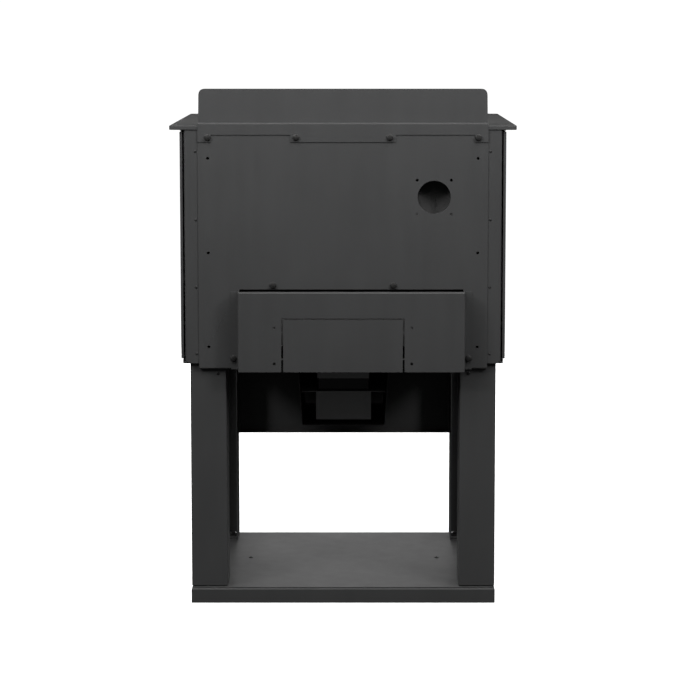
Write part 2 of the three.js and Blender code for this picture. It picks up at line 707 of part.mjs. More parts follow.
addPiece('belly_pan', bellyPan(), charcoalPaint);
addPair('side_casing', sideCasing(), charcoalPaint);
addPair('side_panel', sidePanel(), charcoalPaint);
addPiece('firebox_shell', fireboxShell(), blackIron);
addPiece('front_plate', frontPlate(), charcoalPaint);
addPiece('cooktop_plate', cooktopPlate(), charcoalPaint);
addPiece('flue_collar', flueCollar(), blackIron);
addPiece('ash_lip', ashLip(), blackIron);

// ---- rear shield, splash plate and air cover

const zShieldBottom = zBelly - SHIELD_SKIRT;
const coverX = [-shieldHalf + COVER_MARGIN_LEFT, shieldHalf - COVER_MARGIN_RIGHT];
const zCover = [zBelly - COVER_SKIRT, zBelly + COVER_TOP];

function rearShield() {
  const zTop = zCooktop - GAP;
  const path = [[-SHIELD_RETURN, zShieldBottom], [0, zShieldBottom], [0, zTop]];
  const sheet = prism('x', sheetSection(path, SHIELD_SHEET, SHIELD_BEND), [-shieldHalf, shieldHalf]);
  const through = [-SHIELD_SHEET - REACH, REACH];
  const portX = -shieldHalf + PORT_INSET;
  const portZ = zSurface - PORT_DROP;
  const holes = [rod('y', PORT_RADIUS, through, [portX, portZ], FACETS.pipe)];
  for (const sideways of [-1, 1]) {
    for (const upward of [-1, 1]) {
      const place = [portX + (sideways * PORT_BOLT_SPACING) / 2, portZ + (upward * PORT_BOLT_SPACING) / 2];
      holes.push(rod('y', SMALL_HOLE_RADIUS, through, place, FACETS.hole));
    }
    for (let i = 0; i < 3; i += 1) {
      const x = sideways * (shieldHalf - EDGE_HOLE_INSET);
      const z = zBelly + EDGE_HOLE_RISE + i * EDGE_HOLE_SPACING;
      holes.push(rod('y', SMALL_HOLE_RADIUS, through, [x, z], FACETS.hole));
    }
  }
  const opening = block(
    [coverX[0] + COVER_SHEET, coverX[1] - COVER_SHEET],
    through,
    [zBelly + INLET_SILL, zCover[1] + INLET_HEAD],
  );
  return cut(sheet, opening, ...holes);
}

function splashPlate() {
  const yFlange = GAP + SPLASH_SHEET;
  const yUpright = yFlange - SPLASH_STEP_DEPTH;
  const zStep = zSurface + SPLASH_STEP_RISE;
  const zTop = zSurface + SPLASH_RISE;
  const zTab = zSurface - SPLASH_TAB_DROP;
  const path = [[yFlange, zTab], [yFlange, zStep], [yUpright, zStep], [yUpright, zTop]];
  const sheet = prism('x', sheetSection(path, SPLASH_SHEET, SPLASH_BEND), [-shieldHalf, shieldHalf], 5);
  const topHalf = shieldHalf - SPLASH_TAPER;
  const front = roundedShape([
    [-shieldHalf, zTab - REACH],
    [shieldHalf, zTab - REACH],
    [shieldHalf, zStep],
    [topHalf, zTop, SPLASH_CORNER],
    [-topHalf, zTop, SPLASH_CORNER],
    [-shieldHalf, zStep],
  ]);
  const blank = sheet.intersect(prism('y', front, [yUpright - REACH, yFlange + REACH], 6));
  const notch = block(
    [SPLASH_CENTRE_TAB, shieldHalf - SPLASH_END_TAB],
    [-REACH, REACH],
    [zTab - REACH, zSurface - SPLASH_EDGE_DROP],
  );
  return cut(blank, notch, mirrored(notch));
}

function knockoutSlots() {
  const yWall = [COVER_DEPTH - COVER_SHEET - GAP, COVER_DEPTH + REACH];
  const zTop = zBelly + KNOCKOUT_TOP;
  const halfSlot = KNOCKOUT_SLOT / 2;
  const upright = block(
    [KNOCKOUT_HALF - halfSlot, KNOCKOUT_HALF + halfSlot],
    yWall,
    [zCover[0] - REACH, zTop + halfSlot],
  );
  const level = block(
    [-KNOCKOUT_HALF, KNOCKOUT_HALF],
    yWall,
    [zTop - halfSlot, zTop + halfSlot],
  );
  const halfBridge = KNOCKOUT_BRIDGE / 2;
  const bridges = KNOCKOUT_BRIDGE_RISES.map((rise) => {
    const x = [KNOCKOUT_HALF - KNOCKOUT_SLOT, KNOCKOUT_HALF + KNOCKOUT_SLOT];
    return block(x, yWall, [zBelly + rise - halfBridge, zBelly + rise + halfBridge]);
  });
  const levelBridge = block(
    [KNOCKOUT_BRIDGE_X - halfBridge, KNOCKOUT_BRIDGE_X + halfBridge],
    yWall,
    [zTop - KNOCKOUT_SLOT, zTop + KNOCKOUT_SLOT],
  );
  const kept = [...bridges, ...bridges.map(mirrored), levelBridge, mirrored(levelBridge)];
  return cut(join(upright, mirrored(upright), level), ...kept);
}

function rearAirCover() {
  const [x0, x1] = coverX;
  const plan = roundedShape([
    [x0, GAP],
    [x1, GAP],
    [x1, COVER_DEPTH, COVER_BEND],
    [x0, COVER_DEPTH, COVER_BEND],
  ]);
  const side = roundedShape([
    [GAP, zCover[0]],
    [COVER_DEPTH, zCover[0]],
    [COVER_DEPTH, zCover[1], COVER_BEND],
    [GAP, zCover[1]],
  ]);
  const outer = prism('z', plan, zCover).intersect(prism('x', side, coverX));
  const innerX = [x0 + COVER_SHEET, x1 - COVER_SHEET];
  const hollow = block(
    innerX,
    [-REACH, COVER_DEPTH - COVER_SHEET],
    [zCover[0] - REACH, zCover[1] - COVER_SHEET],
  );
  const airSlot = block(
    innerX,
    [-REACH, COVER_DEPTH - COVER_TOP_RETURN],
    [zCover[1] - COVER_SHEET - GAP, zCover[1] + REACH],
  );
  const flangeZ = [zCover[0], zCover[1] - COVER_BEND];
  const flangeY = [GAP, GAP + COVER_SHEET];
  const flanges = [
    block([x1 - COVER_SHEET / 2, x1 + COVER_FLANGE], flangeY, flangeZ),
    block([x0 - COVER_FLANGE, x0 + COVER_SHEET / 2], flangeY, flangeZ),
  ];
  const throughWall = [COVER_DEPTH - REACH, COVER_DEPTH + REACH];
  const holes = [];
  for (const x of [-BLOWER_HOLE_X, BLOWER_HOLE_X]) {
    for (const rise of BLOWER_HOLE_RISES) {
      holes.push(rod('y', SMALL_HOLE_RADIUS, throughWall, [x, zBelly + rise], FACETS.hole));
    }
  }
  return cut(join(cut(outer, hollow, airSlot), ...flanges), knockoutSlots(), ...holes);
}

addPiece('rear_shield', rearShield(), charcoalPaint);
addPiece('splash_plate', splashPlate(), charcoalPaint);
addPiece('rear_air_cover', rearAirCover(), charcoalPaint);

// ---- refractory lining

const plugPlace = [0, yChute];
const plugSeatRadius = PLUG_HOLE_RADIUS + PLUG_SEAT_WIDTH;

function centreBrick() {
  const z = [zFloorBrick, zFloorBrickTop];
  const brick = block([-CENTRE_BRICK_HALF, CENTRE_BRICK_HALF], [yLiningFront, yLiningRear], z);
  const boreZ = [z[0] - REACH, z[1] + REACH];
  const bore = rod('z', PLUG_HOLE_RADIUS + PLUG_CLEARANCE, boreZ, plugPlace, FACETS.plug);
  const seat = rod('z', plugSeatRadius, [z[1] - PLUG_SEAT_DEPTH, z[1] + REACH], plugPlace, FACETS.plug);
  return cut(brick, bore, seat);
}

const brickY = [yLiningFront, yLiningRear];
const sideFloorBrick = block([CENTRE_BRICK_HALF + GAP, liningHalf], brickY, [zFloorBrick, zFloorBrickTop]);
const wallBrickZ = [zFloorBrickTop + GAP, zDuct - GAP];

addPiece('floor_brick_centre', centreBrick(), firebrick);
addPair('floor_brick', sideFloorBrick, firebrick);
addPair('side_brick', block([liningHalf - WALL_BRICK, liningHalf], brickY, wallBrickZ), firebrick);

const rearBrickHalf = liningHalf - WALL_BRICK - GAP;
const rearBrickY = [yLiningRear - WALL_BRICK, yLiningRear];
addPiece('rear_brick', block([-rearBrickHalf, rearBrickHalf], rearBrickY, wallBrickZ), firebrick);

// ---- air manifold, air tubes and baffle

const yDuctFront = yFrontPlateBack + DUCT_FRONT_MARGIN;
const ductInner = liningHalf - DUCT_WIDTH;
const zTube = zDuct + DUCT_HEIGHT / 2;
const tubePitch = (-TUBE_FIRST - yDuctFront - TUBE_RADIUS * 4) / TUBE_NAMES.length;

function ductRun(shrink) {
  const z = [zDuct + shrink, zDuctTop - shrink];
  const armY = [yDuctFront + shrink, yLiningRear - shrink];
  const arm = block([ductInner + shrink, liningHalf - shrink], armY, z);
  const crossY = [yLiningRear - DUCT_WIDTH + shrink, yLiningRear - shrink];
  const cross = block([-liningHalf + shrink, liningHalf - shrink], crossY, z);
  return join(arm, mirrored(arm), cross);
}

function tubeY(index) {
  return -TUBE_FIRST - index * tubePitch;
}

function airManifold() {
  const ports = TUBE_NAMES.map((name, i) => {
    const x = [-ductInner - DUCT_WIDTH / 2, ductInner + DUCT_WIDTH / 2];
    return rod('x', TUBE_RADIUS - TUBE_WALL, x, [tubeY(i), zTube], FACETS.rod);
  });
  return cut(ductRun(0), ductRun(DUCT_WALL), ...ports);
}

function airTube(index) {
  const half = ductInner - GAP;
  const place = [tubeY(index), zTube];
  const wall = rod('x', TUBE_RADIUS, [-half, half], place, FACETS.rod);
  const bore = rod('x', TUBE_RADIUS - TUBE_WALL, [-half - REACH, half + REACH], place, FACETS.rod);
  const jets = [];
  for (let i = 0; i < TUBE_JETS; i += 1) {
    const x = ((2 * i + 1) / TUBE_JETS - 1) * half;
    jets.push(rod('y', TUBE_JET_RADIUS, [place[0] - TUBE_RADIUS - GAP, place[0]], [x, zTube], FACETS.jet));
  }
  return cut(wall, bore, ...jets);
}

const zBoard = zTube + TUBE_RADIUS + GAP;
const zBlanket = zBoard + BOARD_THICK + GAP;
const boardY = [yFrontPlateBack + BOARD_FRONT_MARGIN, yLiningRear - DUCT_WIDTH - GAP];
const boardHalf = ductInner - GAP;

addPiece('air_manifold', airManifold(), bareSteel);
TUBE_NAMES.forEach((name, i) => addPiece(name, airTube(i), bareSteel));
addPair('baffle_board', block([GAP / 2, boardHalf], boardY, [zBoard, zBoard + BOARD_THICK]), fibreBoard);
addPiece(
  'baffle_blanket',
  block(
    [-boardHalf + BLANKET_INSET, boardHalf - BLANKET_INSET],
    [boardY[0] + BLANKET_INSET, boardY[1] - BLANKET_INSET],
    [zBlanket, zBlanket + BLANKET_THICK],
  ),
  fibreBoard,
);

// ---- ash plug, chute, cradle and drawer

function ashPlug() {
  const zSeat = zFloorBrickTop - PLUG_SEAT_DEPTH + GAP;
  const zTop = zSeat + PLUG_FLANGE_THICK;
  const flangeRadius = plugSeatRadius - PLUG_CLEARANCE / 2;
  const body = turned([
    [0, zSeat - PLUG_DEPTH],
    [PLUG_HOLE_RADIUS, zSeat - PLUG_DEPTH],
    [PLUG_HOLE_RADIUS, zSeat],
    [flangeRadius, zSeat],
    [flangeRadius, zTop],
    [PLUG_DISH_RADIUS, zTop],
    [PLUG_DISH_RADIUS, zTop - PLUG_DISH_DEPTH],
    [0, zTop - PLUG_DISH_DEPTH],
  ]);
  const barHalf = PLUG_DISH_RADIUS + GAP;
  const barY = [-PLUG_BAR_WIDTH / 2, PLUG_BAR_WIDTH / 2];
  const bar = block([-barHalf, barHalf], barY, [zTop - PLUG_BAR_HEIGHT, zTop]);
  return join(body, bar).translate([0, yChute, 0]);
}

function squareTube(half, z) {
  return block([-half, half], [yChute - half, yChute + half], z);
}

function ashChute() {
  const zTop = zFireBottom - GAP;
  const zBottom = zPanTop + PAN_CHUTE_GAP;
  const tube = squareTube(CHUTE_HALF, [zBottom, zTop]);
  const flange = squareTube(CHUTE_HALF + CHUTE_FLANGE, [zTop - CHUTE_FLANGE_THICK, zTop]);
  return cut(join(tube, flange), squareTube(CHUTE_HALF - CHUTE_WALL, [zBottom - REACH, zTop + REACH]));
}

function cradleHalfAt(z) {
  return CRADLE_BOTTOM_HALF + (z - (zPanBottom - CRADLE_UNDER_PAN - CRADLE_SHEET)) * CRADLE_SLOPE;
}

const cradleY = [yLegFront + APRON_SHEET + CRADLE_FRONT_MARGIN, -PAN_REAR_SETBACK + CRADLE_LEAD];

function drawerCradle() {
  const zBottom = zPanBottom - CRADLE_UNDER_PAN - CRADLE_SHEET;
  const zTop = zBelly - GAP;
  const topHalf = cradleHalfAt(zTop);
  const path = [
    [-topHalf, zTop],
    [-CRADLE_BOTTOM_HALF, zBottom],
    [CRADLE_BOTTOM_HALF, zBottom],
    [topHalf, zTop],
  ];
  const trough = prism('y', sheetSection(path, CRADLE_SHEET, CRADLE_BEND), cradleY);
  const flangeX = [topHalf - CRADLE_SHEET, topHalf + CRADLE_FLANGE];
  const flange = block(flangeX, cradleY, [zTop - CRADLE_SHEET, zTop]);
  const ledgeTop = zPanTop - PAN_SHEET - GAP;
  const ledgeEnd = cradleHalfAt(ledgeTop - CRADLE_SHEET) - CRADLE_SHEET / 2;
  const ledge = block([PAN_HALF + LEDGE_CLEARANCE, ledgeEnd], cradleY, [ledgeTop - CRADLE_SHEET, ledgeTop]);
  return join(trough, flange, mirrored(flange), ledge, mirrored(ledge));
}

const panY = [yLegFront, -PAN_REAR_SETBACK];

function ashPan() {
  const shell = cut(
    block([-PAN_HALF, PAN_HALF], panY, [zPanBottom, zPanTop]),
    block(
      [-PAN_HALF + PAN_SHEET, PAN_HALF - PAN_SHEET],
      [panY[0] + PAN_SHEET, panY[1] - PAN_SHEET],
      [zPanBottom + PAN_SHEET, zPanTop + REACH],
    ),
  );
  const rimEnd = cradleHalfAt(zPanTop - PAN_SHEET) - CRADLE_SHEET - RIM_CLEARANCE;
  const rim = block(
    [PAN_HALF - PAN_SHEET / 2, rimEnd],
    [cradleY[0], panY[1]],
    [zPanTop - PAN_SHEET, zPanTop],
  );
  return join(shell, rim, mirrored(rim));
}

const drawerFrontY = [yLegFront - GAP - DRAWER_FRONT_THICK, yLegFront - GAP];

function ashDrawerFront() {
  const half = DRAWER_SLOT_HALF + DRAWER_FRONT_LAP;
  const z = [
    zPanBottom - DRAWER_SLOT_SILL - DRAWER_FRONT_LAP,
    zPanTop + DRAWER_SLOT_HEAD + DRAWER_FRONT_LAP,
  ];
  return prism('y', rectangle([-half, half], z, DRAWER_FRONT_THICK), drawerFrontY, 3);
}

function ashDrawerPull() {
  const yRoot = drawerFrontY[0] - GAP;
  const yBar = yRoot - PULL_REACH;
  const post = rod('y', PULL_POST_RADIUS, [yBar, yRoot], [PULL_POST_X, zPanMiddle], FACETS.bolt);
  const bar = rod('x', PULL_RADIUS, [-PULL_HALF, PULL_HALF], [yBar, zPanMiddle], FACETS.rod);
  return join(bar, post, mirrored(post));
}

addPiece('ash_plug', ashPlug(), blackIron);
addPiece('ash_chute', ashChute(), charcoalPaint);
addPiece('drawer_cradle', drawerCradle(), charcoalPaint);
addPiece('ash_pan', ashPan(), bareSteel);
addPiece('ash_drawer_front', ashDrawerFront(), charcoalPaint);
addPiece('ash_drawer_pull', ashDrawerPull(), bareSteel);

// ---- fresh-air box, damper and its control

function intakeBox() {
  const y = [-INTAKE_SETBACK - INTAKE_DEPTH, -INTAKE_SETBACK];
  const z = [zBelly - INTAKE_DROP, zBelly - GAP];
  const shell = cut(
    block([-INTAKE_HALF, INTAKE_HALF], y, z),
    block(
      [-INTAKE_HALF + INTAKE_SHEET, INTAKE_HALF - INTAKE_SHEET],
      [y[0] + INTAKE_SHEET, y[1] - INTAKE_SHEET],
      [z[0] + INTAKE_SHEET, z[1] + REACH],
    ),
  );
  const middle = [0, (y[0] + y[1]) / 2];
  const inlet = rod('z', INTAKE_HOLE_RADIUS, [z[0] - REACH, z[0] + REACH], middle, FACETS.knob);
  return cut(shell, inlet);
}

const damperX = [DAMPER_X - DAMPER_HALF, DAMPER_X + DAMPER_HALF];
const damperY = [yFrontPlateBack + DAMPER_SETBACK, yFrontPlateBack + DAMPER_SETBACK + DAMPER_LENGTH];
const damperZ = [zFireBottom - GAP - DAMPER_THICK, zFireBottom - GAP];

function damperGuide() {
  const xRail = damperX[1] + GAP;
  const zLip = damperZ[0] - GAP - GUIDE_WALL;
  const railY = [damperY[0] - AIR_PORT_DEPTH, damperY[1] + GUIDE_REAR_GAP];
  const web = block([xRail, xRail + GUIDE_WALL], railY, [zLip, damperZ[1]]);
  const lip = block([xRail - GUIDE_LIP, xRail + GUIDE_WALL], railY, [zLip, zLip + GUIDE_WALL]);
  const rail = join(web, lip);
  const otherRail = rail.mirror([1, 0, 0]).translate([2 * DAMPER_X, 0, 0]);
  const stop = block(
    [damperX[0] - GAP - GUIDE_WALL, xRail + GUIDE_WALL],
    [railY[1] - GUIDE_WALL, railY[1]],
    [zLip, damperZ[1]],
  );
  return join(rail, otherRail, stop);
}

function damperRod() {
  const yEnd = damperY[0] + ROD_POST * 2;
  const shaft = rod('y', ROD_RADIUS, [yFrontPlate - ROD_REACH, yEnd], [DAMPER_X, zRod], FACETS.rod);
  const post = block(
    [DAMPER_X - ROD_POST / 2, DAMPER_X + ROD_POST / 2],
    [yEnd - ROD_POST, yEnd],
    [zRod - ROD_RADIUS, damperZ[0] - GAP],
  );
  return join(shaft, post);
}

function damperKnob() {
  const sides = KNOB_PROFILE.map(([radius, height]) => [radius * KNOB_RADIUS, height * KNOB_LENGTH]);
  const knob = turned([[0, 0], ...sides, [0, KNOB_LENGTH]], FACETS.knob);
  return knob.rotate([90, 0, 0]).translate([DAMPER_X, yFrontPlate - ROD_REACH - GAP, zRod]);
}

addPiece('intake_box', intakeBox(), bareSteel);
addPiece('damper_plate', block(damperX, damperY, damperZ), bareSteel);
addPiece('damper_guide', damperGuide(), bareSteel);
addPiece('damper_rod', damperRod(), bareSteel);
addPiece('damper_knob', damperKnob(), blackIron);

// ---- door

const doorHalf = doorwayHalf + DOOR_LAP;
const doorZ = [zDoorway[0] - DOOR_LAP, zDoorway[1] + DOOR_LAP];
const yDoorBack = yFrontPlate - GASKET_DEPTH - 2 * GAP;
const yDoorFace = yDoorBack - DOOR_THICK;
const windowHalf = doorHalf - WINDOW_STILE;
const windowZ = [doorZ[0] + WINDOW_RAIL, doorZ[1] - WINDOW_RAIL];
const rebateHalf = windowHalf + GLASS_REBATE;
const rebateZ = [windowZ[0] - GLASS_REBATE, windowZ[1] + GLASS_REBATE];
const glassHalf = rebateHalf - GLASS_CLEARANCE;
const glassZ = [rebateZ[0] + GLASS_CLEARANCE, rebateZ[1] - GLASS_CLEARANCE];
const yGlassBack = yDoorBack - RETAINER_THICK - GAP;
const yGlassFront = yGlassBack - GLASS_THICK;
const yRebate = yGlassFront - GLASS_TAPE_THICK - 2 * GAP;
const hingePlace = [-doorHalf - HINGE_REACH, (yDoorBack + yDoorFace) / 2];
const knuckleZ = [doorZ[0] + HINGE_INSET, doorZ[1] - HINGE_INSET - KNUCKLE_HEIGHT];
const spindlePlace = [doorwayHalf - SPINDLE_INSET, (doorZ[0] + doorZ[1]) / 2];

function doorFrame() {
  const slab = prism('y', rectangle([-doorHalf, doorHalf], doorZ, DOOR_CORNER), [yDoorFace, yDoorBack]);
  const throughDoor = [yDoorFace - REACH, yDoorBack + REACH];
  const window = prism('y', rectangle([-windowHalf, windowHalf], windowZ, WINDOW_CORNER), throughDoor);
  const rebate = block([-rebateHalf, rebateHalf], [yRebate, yDoorBack + REACH], rebateZ);
  const spindleHole = rod('y', SPINDLE_RADIUS + GAP, throughDoor, spindlePlace, FACETS.knuckle);
  const lugs = knuckleZ.map((z) => {
    const height = [z, z + KNUCKLE_HEIGHT];
    const knuckle = rod('z', KNUCKLE_RADIUS, height, hingePlace, FACETS.knuckle);
    const arm = block(
      [hingePlace[0], -doorHalf + KNUCKLE_ARM_ROOT],
      [hingePlace[1] - KNUCKLE_ARM_THICK / 2, hingePlace[1] + KNUCKLE_ARM_THICK / 2],
      height,
    );
    return join(knuckle, arm);
  });
  const pinHoles = knuckleZ.map((z) => {
    const through = [z - REACH, z + KNUCKLE_HEIGHT + REACH];
    return rod('z', PIN_RADIUS + GAP, through, hingePlace, FACETS.rod);
  });
  return cut(join(slab, ...lugs), window, rebate, spindleHole, ...pinHoles);
}

function frameRing(half, z, width, y, corner) {
  const outer = prism('y', rectangle([-half, half], z, corner), y);
  const innerCorner = Math.max(corner - width, GASKET_CORNER);
  const inner = rectangle([-half + width, half - width], [z[0] + width, z[1] - width], innerCorner);
  return cut(outer, prism('y', inner, [y[0] - REACH, y[1] + REACH]));
}

function doorGasket() {
  const spread = GASKET_LAP + GASKET_WIDTH;
  const z = [zDoorway[0] - spread, zDoorway[1] + spread];
  const y = [yFrontPlate - GAP - GASKET_DEPTH, yFrontPlate - GAP];
  return frameRing(doorwayHalf + spread, z, GASKET_WIDTH, y, DOOR_CORNER);
}

function glassGasket() {
  return frameRing(glassHalf, glassZ, GLASS_TAPE_WIDTH, [yRebate + GAP, yGlassFront - GAP], GAP);
}

function glassRetainer(atTop) {
  const zLow = atTop ? glassZ[1] - RETAINER_WIDTH : glassZ[0];
  return block([-glassHalf, glassHalf], [yGlassBack + GAP, yDoorBack], [zLow, zLow + RETAINER_WIDTH]);
}

function hingeBracket(zKnuckle) {
  const z = [zKnuckle - GAP - KNUCKLE_HEIGHT, zKnuckle - GAP];
  const yPad = [yFrontPlate - GAP - HINGE_PAD_THICK, yFrontPlate - GAP];
  const pad = block(
    [hingePlace[0] - HINGE_PAD_WIDTH / 2, hingePlace[0] + HINGE_PAD_WIDTH / 2],
    yPad,
    [z[0] - HINGE_PAD_MARGIN, z[1] + HINGE_PAD_MARGIN],
  );
  const armX = [hingePlace[0] - KNUCKLE_RADIUS, hingePlace[0] + KNUCKLE_RADIUS];
  const arm = block(armX, [hingePlace[1], yPad[1]], z);
  const knuckle = rod('z', KNUCKLE_RADIUS, z, hingePlace, FACETS.knuckle);
  const pinHole = rod('z', PIN_RADIUS + GAP, [z[0] + PIN_RADIUS, z[1] + REACH], hingePlace, FACETS.rod);
  return cut(join(pad, arm, knuckle), pinHole);
}

function hingePin(zKnuckle) {
  const zTip = zKnuckle - KNUCKLE_HEIGHT + PIN_RADIUS + GAP;
  const zHead = zKnuckle + KNUCKLE_HEIGHT + GAP;
  const pin = turned([
    [0, zTip],
    [PIN_RADIUS, zTip],
    [PIN_RADIUS, zHead],
    [PIN_HEAD_RADIUS, zHead],
    [PIN_HEAD_RADIUS, zHead + PIN_HEAD_SHOULDER],
    [PIN_RADIUS, zHead + PIN_HEAD_HEIGHT],
    [0, zHead + PIN_HEAD_HEIGHT],
  ], FACETS.rod);
  return pin.translate([...hingePlace, 0]);
}

const yTongueFront = yFrontPlateBack + 2 * GAP + CATCH_THICK;
const yTongue = [yTongueFront, yTongueFront + TONGUE_THICK];
const yLever = yDoorFace - SPINDLE_FRONT;

// Turns a piece drawn along +x so that it follows the lever, and moves it onto the spindle.
function alongLever(geometry) {
  return toSolid(geometry.rotateY(LEVER_DROOP).translate(spindlePlace[0], yLever, spindlePlace[1]));
}

function handleSpindle() {
  const shaft = rod('y', SPINDLE_RADIUS, [yLever, yTongue[1] + GAP * 3], spindlePlace, FACETS.knuckle);
  const elbow = new THREE.SphereGeometry(SPINDLE_RADIUS * ELBOW_SWELL, FACETS.knuckle, FACETS.bolt);
  const arm = new THREE.CylinderGeometry(SPINDLE_RADIUS, SPINDLE_RADIUS, LEVER_LENGTH, FACETS.knuckle);
  arm.rotateZ(-Math.PI / 2).translate(LEVER_LENGTH / 2, 0, 0);
  return join(shaft, alongLever(elbow), alongLever(arm));
}

function handleGrip() {
  const profile = [[0, 0], ...GRIP_PROFILE, [0, 1]];
  const scale = new THREE.Vector2(GRIP_RADIUS, GRIP_LENGTH);
  const points = profile.map((share) => new THREE.Vector2(...share).multiply(scale));
  const grip = new THREE.LatheGeometry(points, FACETS.knob);
  return alongLever(grip.rotateZ(-Math.PI / 2).translate(LEVER_LENGTH + GAP, 0, 0));
}

function latchTongue() {
  const hub = rod('y', TONGUE_HUB_RADIUS, yTongue, spindlePlace, FACETS.knuckle);
  const [x, z] = spindlePlace;
  const arm = block([x - TONGUE_WIDTH / 2, x + TONGUE_WIDTH / 2], yTongue, [z, z + TONGUE_LENGTH]);
  const through = [yTongue[0] - REACH, yTongue[1] + REACH];
  const bore = rod('y', SPINDLE_RADIUS + GAP, through, spindlePlace, FACETS.knuckle);
  return cut(join(hub, arm), bore);
}

function latchCatch() {
  const y = [yFrontPlateBack + GAP, yFrontPlateBack + GAP + CATCH_THICK];
  const x = [doorwayHalf + GAP * 2, doorwayHalf + GAP * 2 + CATCH_WIDTH];
  const z = spindlePlace[1];
  return block(x, y, [z - CATCH_DROP, z + CATCH_RISE]);
}

addPiece('door_frame', doorFrame(), blackIron);
addPiece('door_glass', block([-glassHalf, glassHalf], [yGlassFront, yGlassBack], glassZ), ceramicGlass);
addPiece('glass_gasket', glassGasket(), ropeSeal);
addPiece('glass_retainer_top', glassRetainer(true), bareSteel);
addPiece('glass_retainer_bottom', glassRetainer(false), bareSteel);
addPiece('door_gasket', doorGasket(), ropeSeal);
['lower', 'upper'].forEach((level, i) => {
  addPiece(`hinge_bracket_${level}`, hingeBracket(knuckleZ[i]), blackIron);
  addPiece(`hinge_pin_${level}`, hingePin(knuckleZ[i]), bareSteel);
});
addPiece('handle_spindle', handleSpindle(), bareSteel);
addPiece('handle_grip', handleGrip(), blackIron);
addPiece('latch_tongue', latchTongue(), bareSteel);
addPiece('latch_catch', latchCatch(), bareSteel);

// ---------------------------------------------------------------- the frame

const bounds = new THREE.Box3().setFromObject(stove);
stove.position.y = -(bounds.min.y + bounds.max.y) / 2;

export default stove;
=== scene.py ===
"""Looks of a wood-burning cook stove on an open log-storage pedestal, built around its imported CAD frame."""

from __future__ import annotations

import json
import logging
import math
from dataclasses import dataclass, field
from enum import Enum
from typing import Any

import bmesh  # noqa: E402
import bpy  # noqa: E402
from mathutils import Matrix, Vector  # noqa: E402


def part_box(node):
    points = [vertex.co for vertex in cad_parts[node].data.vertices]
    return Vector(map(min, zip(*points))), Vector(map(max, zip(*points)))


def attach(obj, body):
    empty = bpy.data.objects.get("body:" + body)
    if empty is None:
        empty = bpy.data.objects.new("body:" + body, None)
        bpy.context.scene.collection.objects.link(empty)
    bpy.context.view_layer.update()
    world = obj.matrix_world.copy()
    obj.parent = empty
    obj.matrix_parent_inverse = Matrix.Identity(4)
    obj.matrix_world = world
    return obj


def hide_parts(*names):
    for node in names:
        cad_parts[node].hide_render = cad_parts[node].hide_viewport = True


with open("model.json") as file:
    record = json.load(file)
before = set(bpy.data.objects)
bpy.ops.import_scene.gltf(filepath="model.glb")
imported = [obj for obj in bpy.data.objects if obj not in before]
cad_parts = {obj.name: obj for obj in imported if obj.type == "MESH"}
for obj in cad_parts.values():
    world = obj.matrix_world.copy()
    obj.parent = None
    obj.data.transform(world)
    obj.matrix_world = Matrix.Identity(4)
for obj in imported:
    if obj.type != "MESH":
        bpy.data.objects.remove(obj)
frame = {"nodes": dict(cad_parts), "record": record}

LOG = logging.getLogger("stove")
MM = 0.001


class Body(Enum):
    """The rigid bodies that pieces ride on."""

    STOVE = "stove"
    DOOR = "door"
    HANDLE = "door_handle"
    DRAWER = "ash_drawer"
    AIR = "air_control"
    PLUG = "ash_plug"


class Side(Enum):
    """The stove's two sides, as the sign of x."""

    LEFT = -1
    RIGHT = 1


# ---------------------------------------------------------------- shader maths


class Signal:
    """A shader socket that can be written in arithmetic; every operator adds a Math node."""

    def __init__(self, recipe: "Recipe", socket: bpy.types.NodeSocket) -> None:
        """Wraps a socket.

        Args:
            recipe: The material being written.
            socket: The output socket that carries the value.
        """
        self.recipe = recipe
        self.socket = socket

    def _maths(self, operation: str, first: Any, second: Any = 0.0) -> "Signal":
        """Adds one Math node.

        Args:
            operation: The node's operation.
            first: The left operand.
            second: The right operand.

        Returns:
            The node's result.
        """
        node = self.recipe.node("ShaderNodeMath", {"operation": operation}, {0: first, 1: second})
        return Signal(self.recipe, node.outputs[0])

    def __add__(self, other: Any) -> "Signal":
        """self + other."""
        return self._maths("ADD", self, other)

    __radd__ = __add__

    def __sub__(self, other: Any) -> "Signal":
        """self - other."""
        return self._maths("SUBTRACT", self, other)

    def __rsub__(self, other: Any) -> "Signal":
        """other - self."""
        return self._maths("SUBTRACT", other, self)

    def __mul__(self, other: Any) -> "Signal":
        """self * other."""
        return self._maths("MULTIPLY", self, other)

    __rmul__ = __mul__

    def __truediv__(self, other: Any) -> "Signal":
        """self / other."""
        return self._maths("DIVIDE", self, other)

    def __abs__(self) -> "Signal":
        """The value without its sign."""
        return self._maths("ABSOLUTE", self)

    def larger(self, other: Any) -> "Signal":
        """The larger of this and another value."""
        return self._maths("MAXIMUM", self, other)

    def sine(self) -> "Signal":
        """The sine of the value."""
        return self._maths("SINE", self)


